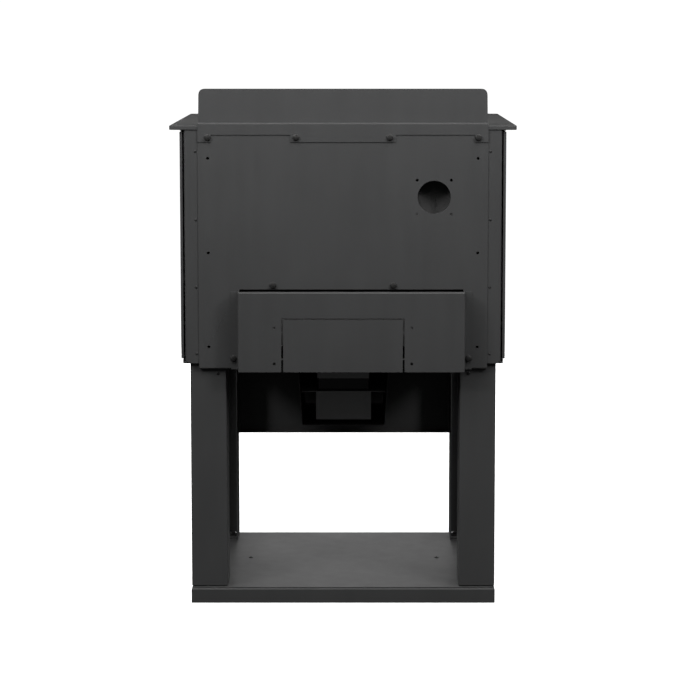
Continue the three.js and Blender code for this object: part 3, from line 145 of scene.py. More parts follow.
class Recipe:
    """One material while its nodes are being written."""

    def __init__(self, name: str) -> None:
        """Starts an empty node tree.

        Args:
            name: The material's name.
        """
        self.material = bpy.data.materials.new(name)
        self.material.use_nodes = True
        self.tree = self.material.node_tree
        self.tree.nodes.clear()
        self._place: bpy.types.Node | None = None

    def node(
        self,
        kind: str,
        settings: dict[str, Any] | None = None,
        inputs: dict[Any, Any] | None = None,
    ) -> bpy.types.Node:
        """Adds a node.

        Args:
            kind: The node's type.
            settings: Its own properties, which are set first.
            inputs: Values or signals by socket name or index.

        Returns:
            The new node.
        """
        node = self.tree.nodes.new(kind)
        for key, value in (settings or {}).items():
            setattr(node, key, value)
        for key, value in (inputs or {}).items():
            if isinstance(value, Signal):
                self.tree.links.new(value.socket, node.inputs[key])
            else:
                node.inputs[key].default_value = value
        return node

    def place(self, stretch: tuple[float, float, float] = (1.0, 1.0, 1.0)) -> Signal:
        """Object coordinates in metres, stretched along each axis.

        Args:
            stretch: How much faster a pattern repeats along x, y and z.

        Returns:
            The coordinates as a vector.
        """
        if self._place is None:
            self._place = self.node("ShaderNodeTexCoord")
        here = Signal(self, self._place.outputs["Object"])
        if stretch == (1.0, 1.0, 1.0):
            return here
        mapped = self.node("ShaderNodeMapping", {"vector_type": "POINT"}, {"Vector": here, "Scale": stretch})
        return Signal(self, mapped.outputs[0])

    def axis(self, letter: str) -> Signal:
        """One of the object coordinates: "X", "Y" or "Z"."""
        parts = self.node("ShaderNodeSeparateXYZ", inputs={0: self.place()})
        return Signal(self, parts.outputs[letter])

    def noise(
        self,
        scale: float,
        detail: float = 3.0,
        roughness: float = 0.5,
        stretch: tuple[float, float, float] = (1.0, 1.0, 1.0),
    ) -> Signal:
        """Fractal noise from 0 to 1.

        Args:
            scale: Repeats per metre.
            detail: Octaves.
            roughness: The weight of the finer octaves.
            stretch: How much faster it repeats along x, y and z.

        Returns:
            The noise's value.
        """
        made = self.node(
            "ShaderNodeTexNoise",
            inputs={"Vector": self.place(stretch), "Scale": scale, "Detail": detail, "Roughness": roughness},
        )
        return Signal(self, made.outputs["Fac"])

    def cells(self, scale: float) -> Signal:
        """The distance to the nearest cell centre, in a pattern of that many cells per metre."""
        made = self.node("ShaderNodeTexVoronoi", inputs={"Vector": self.place(), "Scale": scale})
        return Signal(self, made.outputs["Distance"])

    def between(self, value: Signal, low: float, high: float, at_low: float, at_high: float) -> Signal:
        """Maps a value smoothly from one range to another, and holds it at the ends.

        Args:
            value: The value to map.
            low: Where the change starts.
            high: Where it ends.
            at_low: The result at and before the start.
            at_high: The result at and after the end.

        Returns:
            The mapped value.
        """
        mapped = self.node(
            "ShaderNodeMapRange",
            {"interpolation_type": "SMOOTHSTEP"},
            {0: value, 1: low, 2: high, 3: at_low, 4: at_high},
        )
        return Signal(self, mapped.outputs[0])

    def mix(self, factor: Any, first: Any, second: Any) -> Signal:
        """Mixes two colours.

        Args:
            factor: 0 gives the first colour, 1 the second.
            first: A colour or a signal that carries one.
            second: The other.

        Returns:
            The mixed colour.
        """
        made = self.node("ShaderNodeMix", {"data_type": "RGBA"}, {0: factor, 6: first, 7: second})
        return Signal(self, made.outputs[2])

    def upward(self) -> Signal:
        """1 where the surface faces up, 0 where it is upright or faces down."""
        geometry = self.node("ShaderNodeNewGeometry")
        parts = self.node("ShaderNodeSeparateXYZ", inputs={0: Signal(self, geometry.outputs["Normal"])})
        return self.between(Signal(self, parts.outputs["Z"]), 0.2, 0.95, 0.0, 1.0)

    def bump(self, height: Signal, distance: float, strength: float = 1.0) -> Signal:
        """Turns a height into a normal.

        Args:
            height: The height, where 1 is one whole distance.
            distance: The relief in metres.
            strength: How much of it shows.

        Returns:
            The bumped normal.
        """
        inputs = {"Height": height, "Distance": distance, "Strength": strength}
        made = self.node("ShaderNodeBump", inputs=inputs)
        return Signal(self, made.outputs[0])

    def surface(self, sockets: dict[str, Any]) -> bpy.types.Material:
        """Ends the recipe with a Principled surface.

        Args:
            sockets: Values or signals by socket name.

        Returns:
            The finished material.
        """
        shader = self.node("ShaderNodeBsdfPrincipled", inputs=sockets)
        self.node("ShaderNodeOutputMaterial", inputs={"Surface": Signal(self, shader.outputs[0])})
        return self.material


Colour = tuple[float, float, float, float]


def grey(value: float, warmth: float = 0.0) -> Colour:
    """A grey of that linear value, warmer for a positive warmth and cooler for a negative one."""
    return (value * (1 + warmth), value, value * (1 - warmth), 1.0)


# ---------------------------------------------------------------- finishes


@dataclass(frozen=True)
class StovePaint:
    """Matt charcoal stove paint, sprayed on sheet steel, with a fine dry texture."""

    name: str = "stove_paint"
    tone: float = 0.045
    dust: float = 0.12
    roughness: float = 0.5
    grain: float = 1500.0
    grain_depth: float = 0.00006

    def material(self) -> bpy.types.Material:
        """Writes the paint's nodes."""
        r = Recipe(self.name)
        cloud = r.noise(5.0, 3.0, 0.55)
        speck = r.noise(self.grain, 2.0, 0.6)
        streak = r.noise(30.0, 4.0, 0.6, (1.0, 1.0, 0.12))
        shade = r.between(cloud * 0.6 + streak * 0.4, 0.3, 0.7, 0.0, 1.0)
        paint = r.mix(shade, grey(self.tone * 0.94, -0.01), grey(self.tone * 1.05, -0.01))
        paint = r.mix(r.between(speck, 0.58, 0.75, 0.0, 0.35), paint, grey(self.tone * 1.6))
        settled = r.upward() * r.between(r.noise(9.0, 3.0, 0.5), 0.3, 0.8, 0.35, 0.65) * self.dust
        colour = r.mix(settled, paint, grey(0.2, 0.04))
        rough = r.between(streak, 0.25, 0.75, self.roughness - 0.02, self.roughness + 0.03) + settled * 0.15
        height = speck * 0.8 + r.noise(240.0, 2.0, 0.5) * 0.5
        return r.surface({
            "Base Color": colour,
            "Roughness": rough,
            "Specular IOR Level": 0.42,
            "Normal": r.bump(height, self.grain_depth),
        })


@dataclass(frozen=True)
class CastIron:
    """Sand-cast iron under thin black stove paint."""

    name: str = "cast_iron"
    tone: float = 0.03
    roughness: float = 0.56
    sand: float = 620.0
    relief: float = 0.00016

    def material(self) -> bpy.types.Material:
        """Writes the iron's nodes."""
        r = Recipe(self.name)
        sand = r.noise(self.sand, 4.0, 0.7)
        swell = r.noise(26.0, 2.0, 0.4)
        grain = r.between(sand, 0.35, 0.7, 0.0, 1.0)
        iron = r.mix(grain, grey(self.tone * 0.8), grey(self.tone * 1.35, 0.03))
        dusty = r.upward() * r.between(swell, 0.3, 0.7, 0.04, 0.16)
        rough = r.between(sand, 0.3, 0.7, self.roughness - 0.07, self.roughness + 0.1)
        return r.surface({
            "Base Color": r.mix(dusty, iron, grey(0.17, 0.05)),
            "Roughness": rough,
            "Metallic": 0.25,
            "Normal": r.bump(sand * 0.8 + swell * 1.6, self.relief),
        })


@dataclass(frozen=True)
class BareSteel:
    """Drawn or ground steel, with fine lines along one axis and a light heat tint."""

    name: str
    along: str = "X"
    tone: float = 0.36
    roughness: float = 0.34
    tint: float = 0.25

    def material(self) -> bpy.types.Material:
        """Writes the steel's nodes."""
        r = Recipe(self.name)
        stretch = {"X": (0.04, 1.0, 1.0), "Y": (1.0, 0.04, 1.0), "Z": (1.0, 1.0, 0.04)}[self.along]
        line = r.noise(2600.0, 3.0, 0.6, stretch)
        heat = r.between(r.noise(11.0, 3.0, 0.5), 0.4, 0.75, 0.0, self.tint)
        steel = r.mix(r.between(line, 0.3, 0.7, 0.0, 1.0), grey(self.tone * 0.82), grey(self.tone * 1.12))
        return r.surface({
            "Base Color": r.mix(heat, steel, (0.24, 0.15, 0.08, 1.0)),
            "Roughness": r.between(line, 0.3, 0.7, self.roughness - 0.06, self.roughness + 0.12),
            "Metallic": 0.95,
            "Normal": r.bump(line, 0.00003),
        })


@dataclass(frozen=True)
class BlackenedSteel:
    """Oxide-blackened screws and bolts."""

    name: str = "blackened_steel"
    tone: float = 0.035
    roughness: float = 0.42

    def material(self) -> bpy.types.Material:
        """Writes the screws' nodes."""
        r = Recipe(self.name)
        mottle = r.noise(520.0, 4.0, 0.65)
        cloud = r.between(mottle, 0.35, 0.7, 0.0, 1.0)
        colour = r.mix(cloud, grey(self.tone * 0.7), grey(self.tone * 1.5, 0.02))
        return r.surface({
            "Base Color": colour,
            "Roughness": r.between(mottle, 0.3, 0.7, self.roughness - 0.08, self.roughness + 0.14),
            "Metallic": 0.6,
            "Normal": r.bump(mottle, 0.00005),
        })


@dataclass(frozen=True)
class SootedSteel:
    """The firebox's plate: flat black with grey ash bloom inside, and painted on its outer rear face in a
    tone lighter than the body's paint, partly real paint and partly painted light for the wall seen through
    the rear port.
    """

    name: str = "sooted_steel"
    tone: float = 0.026
    # The outer rear face's tone is raised above the body's paint as painted light on the wall seen through
    # the rear port.
    paint: float = 0.08
    rear_face: float = 0.2475

    def material(self) -> bpy.types.Material:
        """Writes the plate's nodes."""
        r = Recipe(self.name)
        scale_skin = r.noise(180.0, 5.0, 0.7)
        bloom = r.between(r.noise(9.0, 4.0, 0.6), 0.45, 0.75, 0.0, 0.35)
        # Mask for the outer rear face, which takes the raised tone: real paint, lightened as painted light.
        painted = r.between(r.axis("Y"), self.rear_face - 0.002, self.rear_face - 0.001, 0.0, 1.0)
        scale_patch = r.between(scale_skin, 0.35, 0.7, 0.0, 1.0)
        colour = r.mix(scale_patch, grey(self.tone * 0.7), grey(self.tone * 1.4, 0.04))
        return r.surface({
            "Base Color": r.mix(painted, r.mix(bloom, colour, grey(0.07, 0.06)), grey(self.paint)),
            "Roughness": r.between(scale_skin, 0.3, 0.7, 0.62, 0.84),
            "Metallic": 0.15,
            "Normal": r.bump(scale_skin, 0.0002),
        })


@dataclass(frozen=True)
class Firebrick:
    """Pressed vermiculite brick: buff, flecked, and smoked towards the top."""

    name: str = "firebrick"
    buff: Colour = (0.52, 0.38, 0.22, 1.0)
    fleck: Colour = (0.3, 0.19, 0.09, 1.0)
    smoke_from: float = 0.53
    smoke_to: float = 0.8

    def material(self) -> bpy.types.Material:
        """Writes the brick's nodes."""
        r = Recipe(self.name)
        flake = r.cells(340.0)
        patch = r.noise(24.0, 5.0, 0.6)
        brick = r.mix(r.between(flake, 0.12, 0.4, 1.0, 0.0) * 0.55, self.buff, self.fleck)
        rise = r.between(r.axis("Z") + (patch - 0.5) * 0.24, self.smoke_from, self.smoke_to, 0.25, 0.9)
        colour = r.mix(rise * r.between(patch, 0.25, 0.7, 0.5, 1.0), brick, grey(0.035, 0.08))
        height = flake * 0.7 + r.noise(500.0, 3.0, 0.6) * 0.5
        return r.surface({
            "Base Color": colour,
            "Roughness": r.between(patch, 0.3, 0.7, 0.86, 0.97),
            "Normal": r.bump(height, 0.0006),
        })


@dataclass(frozen=True)
class FibreBoard:
    """Ceramic-fibre baffle board and blanket, with a loose felted surface."""

    name: str
    tone: Colour = (0.62, 0.58, 0.5, 1.0)
    fibre_depth: float = 0.0005

    def material(self) -> bpy.types.Material:
        """Writes the board's nodes."""
        r = Recipe(self.name)
        fibre = r.noise(760.0, 5.0, 0.75, (1.0, 0.3, 1.0))
        smoke = r.between(r.noise(16.0, 4.0, 0.6), 0.35, 0.7, 0.15, 0.85)
        colour = r.mix(smoke, self.tone, grey(0.06, 0.06))
        return r.surface({
            "Base Color": colour,
            "Roughness": r.between(fibre, 0.3, 0.7, 0.9, 1.0),
            "Sheen Weight": 0.15,
            "Normal": r.bump(fibre, self.fibre_depth),
        })


@dataclass(frozen=True)
class RopeSeal:
    """Knitted glass-fibre rope, graphite grey, with its strands on a slant."""

    name: str = "rope_seal"
    tone: float = 0.1
    strand: float = 0.0026

    def material(self) -> bpy.types.Material:
        """Writes the rope's nodes."""
        r = Recipe(self.name)
        turns = 2 * math.pi / self.strand
        slant = ((r.axis("X") + r.axis("Z")) * turns + r.axis("Y") * turns * 1.4).sine()
        counter = ((r.axis("X") - r.axis("Z")) * turns - r.axis("Y") * turns * 1.4).sine()
        knit = slant.larger(counter) * 0.5 + 0.5
        fluff = r.noise(1500.0, 4.0, 0.7)
        colour = r.mix(knit * 0.7 + fluff * 0.3, grey(self.tone * 0.4), grey(self.tone * 1.3, 0.04))
        return r.surface({
            "Base Color": colour,
            "Roughness": r.between(fluff, 0.3, 0.7, 0.88, 1.0),
            "Sheen Weight": 0.2,
            "Normal": r.bump(knit + fluff * 0.3, 0.0007),
        })


@dataclass(frozen=True)
class CeramicGlass:
    """Clear glass-ceramic with a smoke-brown body and soot drawn in from its edges."""

    name: str = "ceramic_glass"
    half_width: float = 0.165
    middle_height: float = 0.696
    half_height: float = 0.109

    def material(self) -> bpy.types.Material:
        """Writes the glass's nodes."""
        r = Recipe(self.name)
        smear = r.noise(18.0, 5.0, 0.65)
        across = abs(r.axis("X")) / self.half_width
        up = abs(r.axis("Z") - self.middle_height) / self.half_height
        reach = across.larger(up) + (smear - 0.5) * 0.35
        soot = r.between(reach, 0.72, 1.06, 0.0, 1.0)
        colour = r.mix(soot, (0.02, 0.016, 0.012, 1.0), grey(0.012, 0.1))
        r.material.surface_render_method = "BLENDED"
        return r.surface({
            "Base Color": colour,
            "Roughness": soot * 0.5 + r.between(smear, 0.4, 0.7, 0.04, 0.12),
            "Alpha": soot * 0.42 + 0.55,
            "Specular IOR Level": 0.6,
        })


@dataclass(frozen=True)
class PaleBackdrop:
    """The plain pale floor and the dome round it, lit from within."""

    name: str = "pale_backdrop"
    tone: float = 0.7
    glow: float = 1.0

    def material(self) -> bpy.types.Material:
        """Writes the backdrop's nodes."""
        r = Recipe(self.name)
        return r.surface({
            "Base Color": grey(self.tone),
            "Roughness": 1.0,
            "Specular IOR Level": 0.0,
            "Emission Color": grey(1.0),
            "Emission Strength": self.glow,
        })


class Finishes:
    """Every finish on the stove, each written once."""

    def __init__(self) -> None:
        """Writes the materials."""
        self.paint = StovePaint().material()
        # Light grey for the ash pan and intake box: partly the zinc coat's own tone, partly painted light
        # that stands in for light these shaded parts don't get from the lamps.
        self.zinc_and_painted_light = StovePaint("zinc_coat_and_painted_light", tone=0.34, dust=0.05).material()
        self.iron = CastIron().material()
        self.steel_x = BareSteel("steel_along_x", "X").material()
        self.steel_y = BareSteel("steel_along_y", "Y", tint=0.1).material()
        self.steel_z = BareSteel("steel_along_z", "Z", tint=0.05).material()
        self.screw = BlackenedSteel().material()
        self.sooted = SootedSteel().material()
        self.brick = Firebrick().material()
        self.board = FibreBoard("baffle_board").material()
        self.blanket = FibreBoard("baffle_blanket", (0.7, 0.68, 0.64, 1.0), 0.0012).material()
        self.rope = RopeSeal().material()
        self.glass = CeramicGlass().material()


# ---------------------------------------------------------------- mesh tools


def turn_from_up(direction: Vector) -> Matrix:
    """The rotation that turns +Z onto a direction."""
    return direction.to_track_quat("Z", "Y").to_matrix().to_4x4()


class Workpiece:
    """A mesh on the bench, shaped by bmesh operators and then put on a body."""

    def __init__(self) -> None:
        """Starts with nothing."""
        self.bm = bmesh.new()

    def block(self, low: Vector, high: Vector, edge: float = 0.0, segments: int = 2) -> None:
        """Adds a block.

        Args:
            low: Its lowest corner.
            high: Its highest corner.
            edge: The radius of its edges, or 0 for sharp ones.
            segments: Segments in each rounded edge.
        """
        made = bmesh.ops.create_cube(self.bm, size=1.0)
        size = high - low
        bmesh.ops.scale(self.bm, vec=size, verts=made["verts"])
        bmesh.ops.translate(self.bm, vec=(low + high) / 2, verts=made["verts"])
        if edge > 0:
            edges = list({e for v in made["verts"] for e in v.link_edges})
            bmesh.ops.bevel(
                self.bm, geom=edges, offset=edge, offset_type="OFFSET", segments=segments,
                profile=0.5, affect="EDGES", material=-1, clamp_overlap=True,
            )

    def turned(
        self,
        profile: list[tuple[float, float]],
        steps: int,
        place: Vector,
        direction: Vector,
    ) -> None:
        """Adds a turned solid.

        Args:
            profile: (radius, height) points from the axis to the axis.
            steps: Steps round the axis.
            place: Where height 0 lies on the axis.
            direction: The way height grows.
        """
        bm = bmesh.new()
        verts = [bm.verts.new((radius, 0.0, height)) for radius, height in profile]
        edges = [bm.edges.new(pair) for pair in zip(verts, verts[1:])]
        bmesh.ops.spin(
            bm, geom=verts + edges, cent=(0, 0, 0), axis=(0, 0, 1), angle=2 * math.pi,
            steps=steps, use_merge=True, use_duplicate=False,
        )
        bmesh.ops.remove_doubles(bm, verts=bm.verts, dist=1e-6)
        self.take(bm, place, direction)

    def take(self, bm: bmesh.types.BMesh, place: Vector, direction: Vector) -> None:
        """Stands a shape in its place and adds it.

        Args:
            bm: The shape, built upwards from the origin. It is used up.
            place: Where its origin goes.
            direction: The way its +Z goes.
        """
        bmesh.ops.transform(bm, matrix=Matrix.Translation(place) @ turn_from_up(direction), verts=bm.verts)
        bmesh.ops.recalc_face_normals(bm, faces=bm.faces)
        scrap = bpy.data.meshes.new("scrap")
        bm.to_mesh(scrap)
        bm.free()
        self.bm.from_mesh(scrap)
        bpy.data.meshes.remove(scrap)

    def hexagon(self, across: float, height: float, place: Vector, direction: Vector) -> None:
        """Adds a hexagon head with a chamfered crown.

        Args:
            across: The width across its flats.
            height: How far it stands up.
            place: The middle of its foot.
            direction: The way it stands.
        """
        bm = bmesh.new()
        bmesh.ops.create_cone(
            bm, cap_ends=True, cap_tris=False, segments=6,
            radius1=across / math.sqrt(3), radius2=across / math.sqrt(3), depth=height,
        )
        bmesh.ops.translate(bm, vec=(0, 0, height / 2), verts=bm.verts)
        crown = max(bm.faces, key=lambda face: face.calc_center_median().z)
        bmesh.ops.bevel(
            bm, geom=list(crown.edges), offset=across * 0.07, offset_type="OFFSET", segments=2,
            profile=0.5, affect="EDGES", material=-1, clamp_overlap=True,
        )
        self.take(bm, place, direction)

    def put(
        self,
        name: str,
        body: Body,
        material: bpy.types.Material,
        crease: float = 35.0,
    ) -> bpy.types.Object:
        """Makes the mesh an object that rides on a body.

        Args:
            name: The piece's name.
            body: The body that it rides on.
            material: Its finish.
            crease: Edges sharper than this many degrees stay sharp.

        Returns:
            The new object.
        """
        mesh = bpy.data.meshes.new(name)
        self.bm.to_mesh(mesh)
        self.bm.free()
        mesh.materials.append(material)
        mesh.shade_smooth()
        mesh.set_sharp_from_angle(angle=math.radians(crease))
        piece = bpy.data.objects.new(name, mesh)
        bpy.context.scene.collection.objects.link(piece)
        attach(piece, body.value)
        LOG.info("%s: %d faces", name, len(mesh.polygons))
        return piece


BODY_OF = {
    node: Body(body)
    for body, nodes in frame["record"]["behaviour"]["bodies"].items()
    for node in nodes
}


@dataclass
class Softening:
    """How a CAD node's edges are eased in the piece that stands for it."""

    edge: float = 0.35
    segments: int = 2
    crease: float = 32.0

    def stand_in(self, node: str, material: bpy.types.Material) -> bpy.types.Object:
        """Builds a piece from a merged copy of a node, with eased edges, that stands for it.

        Args:
            node: The CAD node's name.
            material: The piece's finish.

        Returns:
            The new object.
        """
        bm = bmesh.new()
        bm.from_mesh(frame["nodes"][node].data)
        bmesh.ops.remove_doubles(bm, verts=bm.verts, dist=1e-6)
        bmesh.ops.dissolve_limit(
            bm, angle_limit=math.radians(0.5), use_dissolve_boundaries=False, verts=bm.verts, edges=bm.edges,
        )
        mesh = bpy.data.meshes.new(f"{node}_shown")
        bm.to_mesh(mesh)
        bm.free()
        mesh.materials.clear()
        mesh.materials.append(material)
        mesh.shade_smooth()
        mesh.set_sharp_from_angle(angle=math.radians(self.crease))
        piece = bpy.data.objects.new(f"{node}_shown", mesh)
        bpy.context.scene.collection.objects.link(piece)
        if self.edge > 0:
            bevel = piece.modifiers.new("eased_edges", "BEVEL")
            bevel.width = self.edge * MM
            bevel.segments = self.segments
            bevel.profile = 0.5
            bevel.limit_method = "ANGLE"
            bevel.angle_limit = math.radians(self.crease)
            bevel.use_clamp_overlap = True
            bevel.miter_outer = "MITER_ARC"
        weighted = piece.modifiers.new("flat_faces", "WEIGHTED_NORMAL")
        weighted.mode = "FACE_AREA"
        weighted.weight = 100
        weighted.keep_sharp = True
        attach(piece, BODY_OF[node].value)
        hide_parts(node)
        LOG.info("%s: eased by %.2f mm", node, self.edge)
        return piece


def middle_of(node: str) -> Vector:
    """The middle of a CAD node's box."""
    low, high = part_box(node)
    return (low + high) / 2


# ---------------------------------------------------------------- fasteners


@dataclass
class FlangeScrew:
    """A hexagon screw with a pressed flange. Lengths are in metres."""

    across: float = 0.0096
    head: float = 0.0052
    flange: float = 0.0066
    flange_rise: float = 0.0014

    def add(self, work: Workpiece, place: Vector, direction: Vector) -> None:
        """Adds one screw.

        Args:
            work: The mesh to add it to.
            place: Where its underside rests.
            direction: The way its head faces.
        """
        rim = self.flange
        work.turned(
            [
                (0.0, 0.0),
                (rim * 0.97, 0.0),
                (rim, self.flange_rise * 0.3),
                (rim * 0.98, self.flange_rise * 0.6),
                (self.across * 0.55, self.flange_rise),
                (0.0, self.flange_rise),
            ],
            24, place, direction,
        )
        seat = place + direction * self.flange_rise
        work.hexagon(self.across, self.head - self.flange_rise, seat, direction)


@dataclass
class PanScrew:
    """A small domed screw with a round recess. Lengths are in metres."""

    radius: float = 0.0042
    dome: float = 0.0024

    def add(self, work: Workpiece, place: Vector, direction: Vector) -> None:
        """Adds one screw.

        Args:
            work: The mesh to add it to.
            place: Where its underside rests.
            direction: The way its head faces.
        """
        r, h = self.radius, self.dome
        work.turned(
            [
                (0.0, 0.0), (r * 0.97, 0.0), (r, h * 0.2), (r * 0.93, h * 0.55), (r * 0.74, h * 0.85),
                (r * 0.48, h), (r * 0.42, h * 0.94), (r * 0.38, h * 0.35), (0.0, h * 0.3),
            ],
            18, place, direction,
        )


@dataclass
class CarriageBolt:
    """A hexagon bolt on a plain washer. Lengths are in metres."""

    across: float = 0.013
    head: float = 0.0053
    washer: float = 0.012
    washer_thick: float = 0.0016

    def add(self, work: Workpiece, place: Vector, direction: Vector) -> None:
        """Adds one bolt.

        Args:
            work: The mesh to add it to.
            place: Where the washer rests.
            direction: The way its head faces.
        """
        w, t = self.washer, self.washer_thick
        work.turned([(0.0, 0.0), (w, 0.0), (w, t * 0.8), (w * 0.97, t), (0.0, t)], 28, place, direction)
        work.hexagon(self.across, self.head, place + direction * t, direction)


# ---------------------------------------------------------------- the stove's sub-assemblies


@dataclass
class Pedestal:
    """The base tray, shelf, four folded legs and the front apron, with their bolts."""

    finishes: Finishes
    sheet_edge: float = 0.45
    bolt_inset: float = 0.035
    tab_thick: float = 0.0026
    bolt_x: float = 0.238
    tie_x: float = 0.2401
    tie_drop: float = 0.0197
    shelf_screw_x: float = 0.1893
    shelf_screw_back: float = 0.26

    def build(self) -> None:
        """Builds the pedestal's pieces."""
        soften = Softening(self.sheet_edge)
        for node in (
            "base_tray", "leg_rear_left", "leg_rear_right",
            "leg_front_left", "leg_front_right", "front_apron",
        ):
            soften.stand_in(node, self.finishes.paint)
        Softening(0.3, 1).stand_in("storage_shelf", self.finishes.paint)
        self.foot_bolts()
        self.tie_screws()
        self.shelf_screws()

    def foot_bolts(self) -> None:
        """Adds the bolt in each leg's foot tab."""
        work = Workpiece()
        for name, inward in (("leg_rear_left", -1), ("leg_front_left", 1)):
            low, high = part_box(name)
            face = high.y if inward < 0 else low.y
            tab_top = low.z + self.tab_thick
            for side in Side:
                place = Vector((side.value * self.bolt_x, face + inward * self.bolt_inset, tab_top))
                CarriageBolt().add(work, place, Vector((0, 0, 1)))
        work.put("foot_bolts", Body.STOVE, self.finishes.screw)

    def tie_screws(self) -> None:
        """Adds the screw near the top of each rear leg's face."""
        work = Workpiece()
        _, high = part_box("leg_rear_left")
        for side in Side:
            place = Vector((side.value * self.tie_x, high.y, high.z - self.tie_drop))
            PanScrew(0.0034, 0.0018).add(work, place, Vector((0, 1, 0)))
        work.put("leg_tie_screws", Body.STOVE, self.finishes.screw)

    def shelf_screws(self) -> None:
        """Adds the two screws that hold the shelf."""
        work = Workpiece()
        low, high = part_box("storage_shelf")
        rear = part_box("base_tray")[1].y
        for side in Side:
            place = Vector((side.value * self.shelf_screw_x, rear - self.shelf_screw_back, high.z))
            PanScrew(0.0046, 0.0018).add(work, place, Vector((0, 0, 1)))
        work.put("shelf_screws", Body.STOVE, self.finishes.screw)


@dataclass
class RearPanels:
    """The rear shield, its splash plate and air cover, and the screws that hold them."""

    finishes: Finishes
    sheet_edge: float = 0.35
    tab_screws: tuple[tuple[float, float], ...] = (
        (-0.2563, 0.8988), (-0.0886, 0.8988), (0.0886, 0.8988), (0.2563, 0.8988),
    )
    shield_screws: tuple[tuple[float, float], ...] = ((0.1335, 0.6177), (-0.0957, 0.6177))
    cover_screws: tuple[tuple[float, float], ...] = ((0.2094, 0.4776), (-0.2397, 0.4776))

    def build(self) -> None:
        """Builds the panels and their screws."""
        soften = Softening(self.sheet_edge)
        for node in ("rear_shield", "splash_plate", "rear_air_cover"):
            soften.stand_in(node, self.finishes.paint)
        back = Vector((0, 1, 0))
        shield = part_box("rear_shield")[1].y
        work = Workpiece()
        for x, z in self.tab_screws:
            FlangeScrew().add(work, Vector((x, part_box("splash_plate")[1].y, z)), back)
        work.put("splash_screws", Body.STOVE, self.finishes.screw)
        work = Workpiece()
        for x, z in self.shield_screws:
            FlangeScrew().add(work, Vector((x, shield, z)), back)
        for x, z in self.cover_screws:
            FlangeScrew().add(work, Vector((x, shield + 0.0018, z)), back)
        work.put("shield_screws", Body.STOVE, self.finishes.screw)


@dataclass
class StoveBody:
    """The belly pan, casings, side panels, cooktop, front plate, ash lip and flue collar."""

    finishes: Finishes
    casing_screw_heights: tuple[float, ...] = (0.8723, 0.7426, 0.614, 0.486)
    casing_screw_x: float = 0.2795

    def build(self) -> None:
        """Builds the body's pieces."""
        sheet = Softening(0.35)
        sides = ("side_casing_left", "side_casing_right", "side_panel_left", "side_panel_right")
        for node in ("belly_pan", *sides):
            sheet.stand_in(node, self.finishes.paint)
        Softening(1.0, 3).stand_in("cooktop_plate", self.finishes.paint)
        Softening(0.8, 2).stand_in("front_plate", self.finishes.paint)
        Softening(1.2, 3).stand_in("ash_lip", self.finishes.iron)
        Softening(1.0, 3).stand_in("flue_collar", self.finishes.iron)
        self.casing_screws()

    def casing_screws(self) -> None:
        """Adds the small screws down each casing's rear flange."""
        work = Workpiece()
        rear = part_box("side_casing_right")[1].y
        for side in Side:
            for z in self.casing_screw_heights:
                place = Vector((side.value * self.casing_screw_x, rear, z))
                PanScrew(0.0024, 0.0013).add(work, place, Vector((0, 1, 0)))
        work.put("casing_screws", Body.STOVE, self.finishes.screw)


@dataclass
class Firebox:
    """The firebox and all that lines it."""

    finishes: Finishes

    def build(self) -> None:
        """Builds the firebox's pieces."""
        Softening(1.0, 2).stand_in("firebox_shell", self.finishes.sooted)
        brick = Softening(1.6, 2)
        for node in (
            "floor_brick_centre", "floor_brick_left", "floor_brick_right",
            "side_brick_left", "side_brick_right", "rear_brick",
        ):
            brick.stand_in(node, self.finishes.brick)
        Softening(1.0, 2).stand_in("air_manifold", self.finishes.steel_y)
        for node in ("air_tube_rear", "air_tube_middle", "air_tube_front"):
            Softening(0.3, 2).stand_in(node, self.finishes.steel_x)
        for node in ("baffle_board_left", "baffle_board_right"):
            Softening(1.5, 2).stand_in(node, self.finishes.board)
        Softening(3.0, 3).stand_in("baffle_blanket", self.finishes.blanket)
        Softening(1.0, 2).stand_in("ash_plug", self.finishes.iron)


@dataclass
class Underside:
    """The chute, drawer cradle, fresh-air box and the damper's guide, below the firebox."""

    finishes: Finishes

    def build(self) -> None:
        """Builds the pieces under the belly."""
        sheet = Softening(0.35)
        for node in ("ash_chute", "drawer_cradle"):
            sheet.stand_in(node, self.finishes.paint)
        # The zinc tone is partly painted light, lifting the shaded fresh-air box.
        sheet.stand_in("intake_box", self.finishes.zinc_and_painted_light)
        Softening(0.3).stand_in("damper_guide", self.finishes.steel_y)


@dataclass
class AshDrawer:
    """The ash pan with its front and pull."""

    finishes: Finishes
    screw_x: float = 0.07

    def build(self) -> None:
        """Builds the drawer's pieces."""
        # The zinc tone is partly painted light, lifting the pan's shaded rear wall.
        Softening(0.35).stand_in("ash_pan", self.finishes.zinc_and_painted_light)
        Softening(1.0, 3).stand_in("ash_drawer_front", self.finishes.paint)
        Softening(0.8, 3).stand_in("ash_drawer_pull", self.finishes.steel_x)
        work = Workpiece()
        low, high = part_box("ash_drawer_front")
        for side in Side:
            for z in (low.z + 0.014, high.z - 0.014):
                place = Vector((side.value * self.screw_x, low.y, z))
                PanScrew(0.0035, 0.0018).add(work, place, Vector((0, -1, 0)))
        work.put("drawer_front_screws", Body.DRAWER, self.finishes.screw)


@dataclass
class AirControl:
    """The damper plate with its rod and knob."""

    finishes: Finishes

    def build(self) -> None:
        """Builds the control's pieces."""
        Softening(0.3).stand_in("damper_plate", self.finishes.steel_y)
        Softening(0.4).stand_in("damper_rod", self.finishes.steel_y)
        Softening(0.8, 3).stand_in("damper_knob", self.finishes.iron)


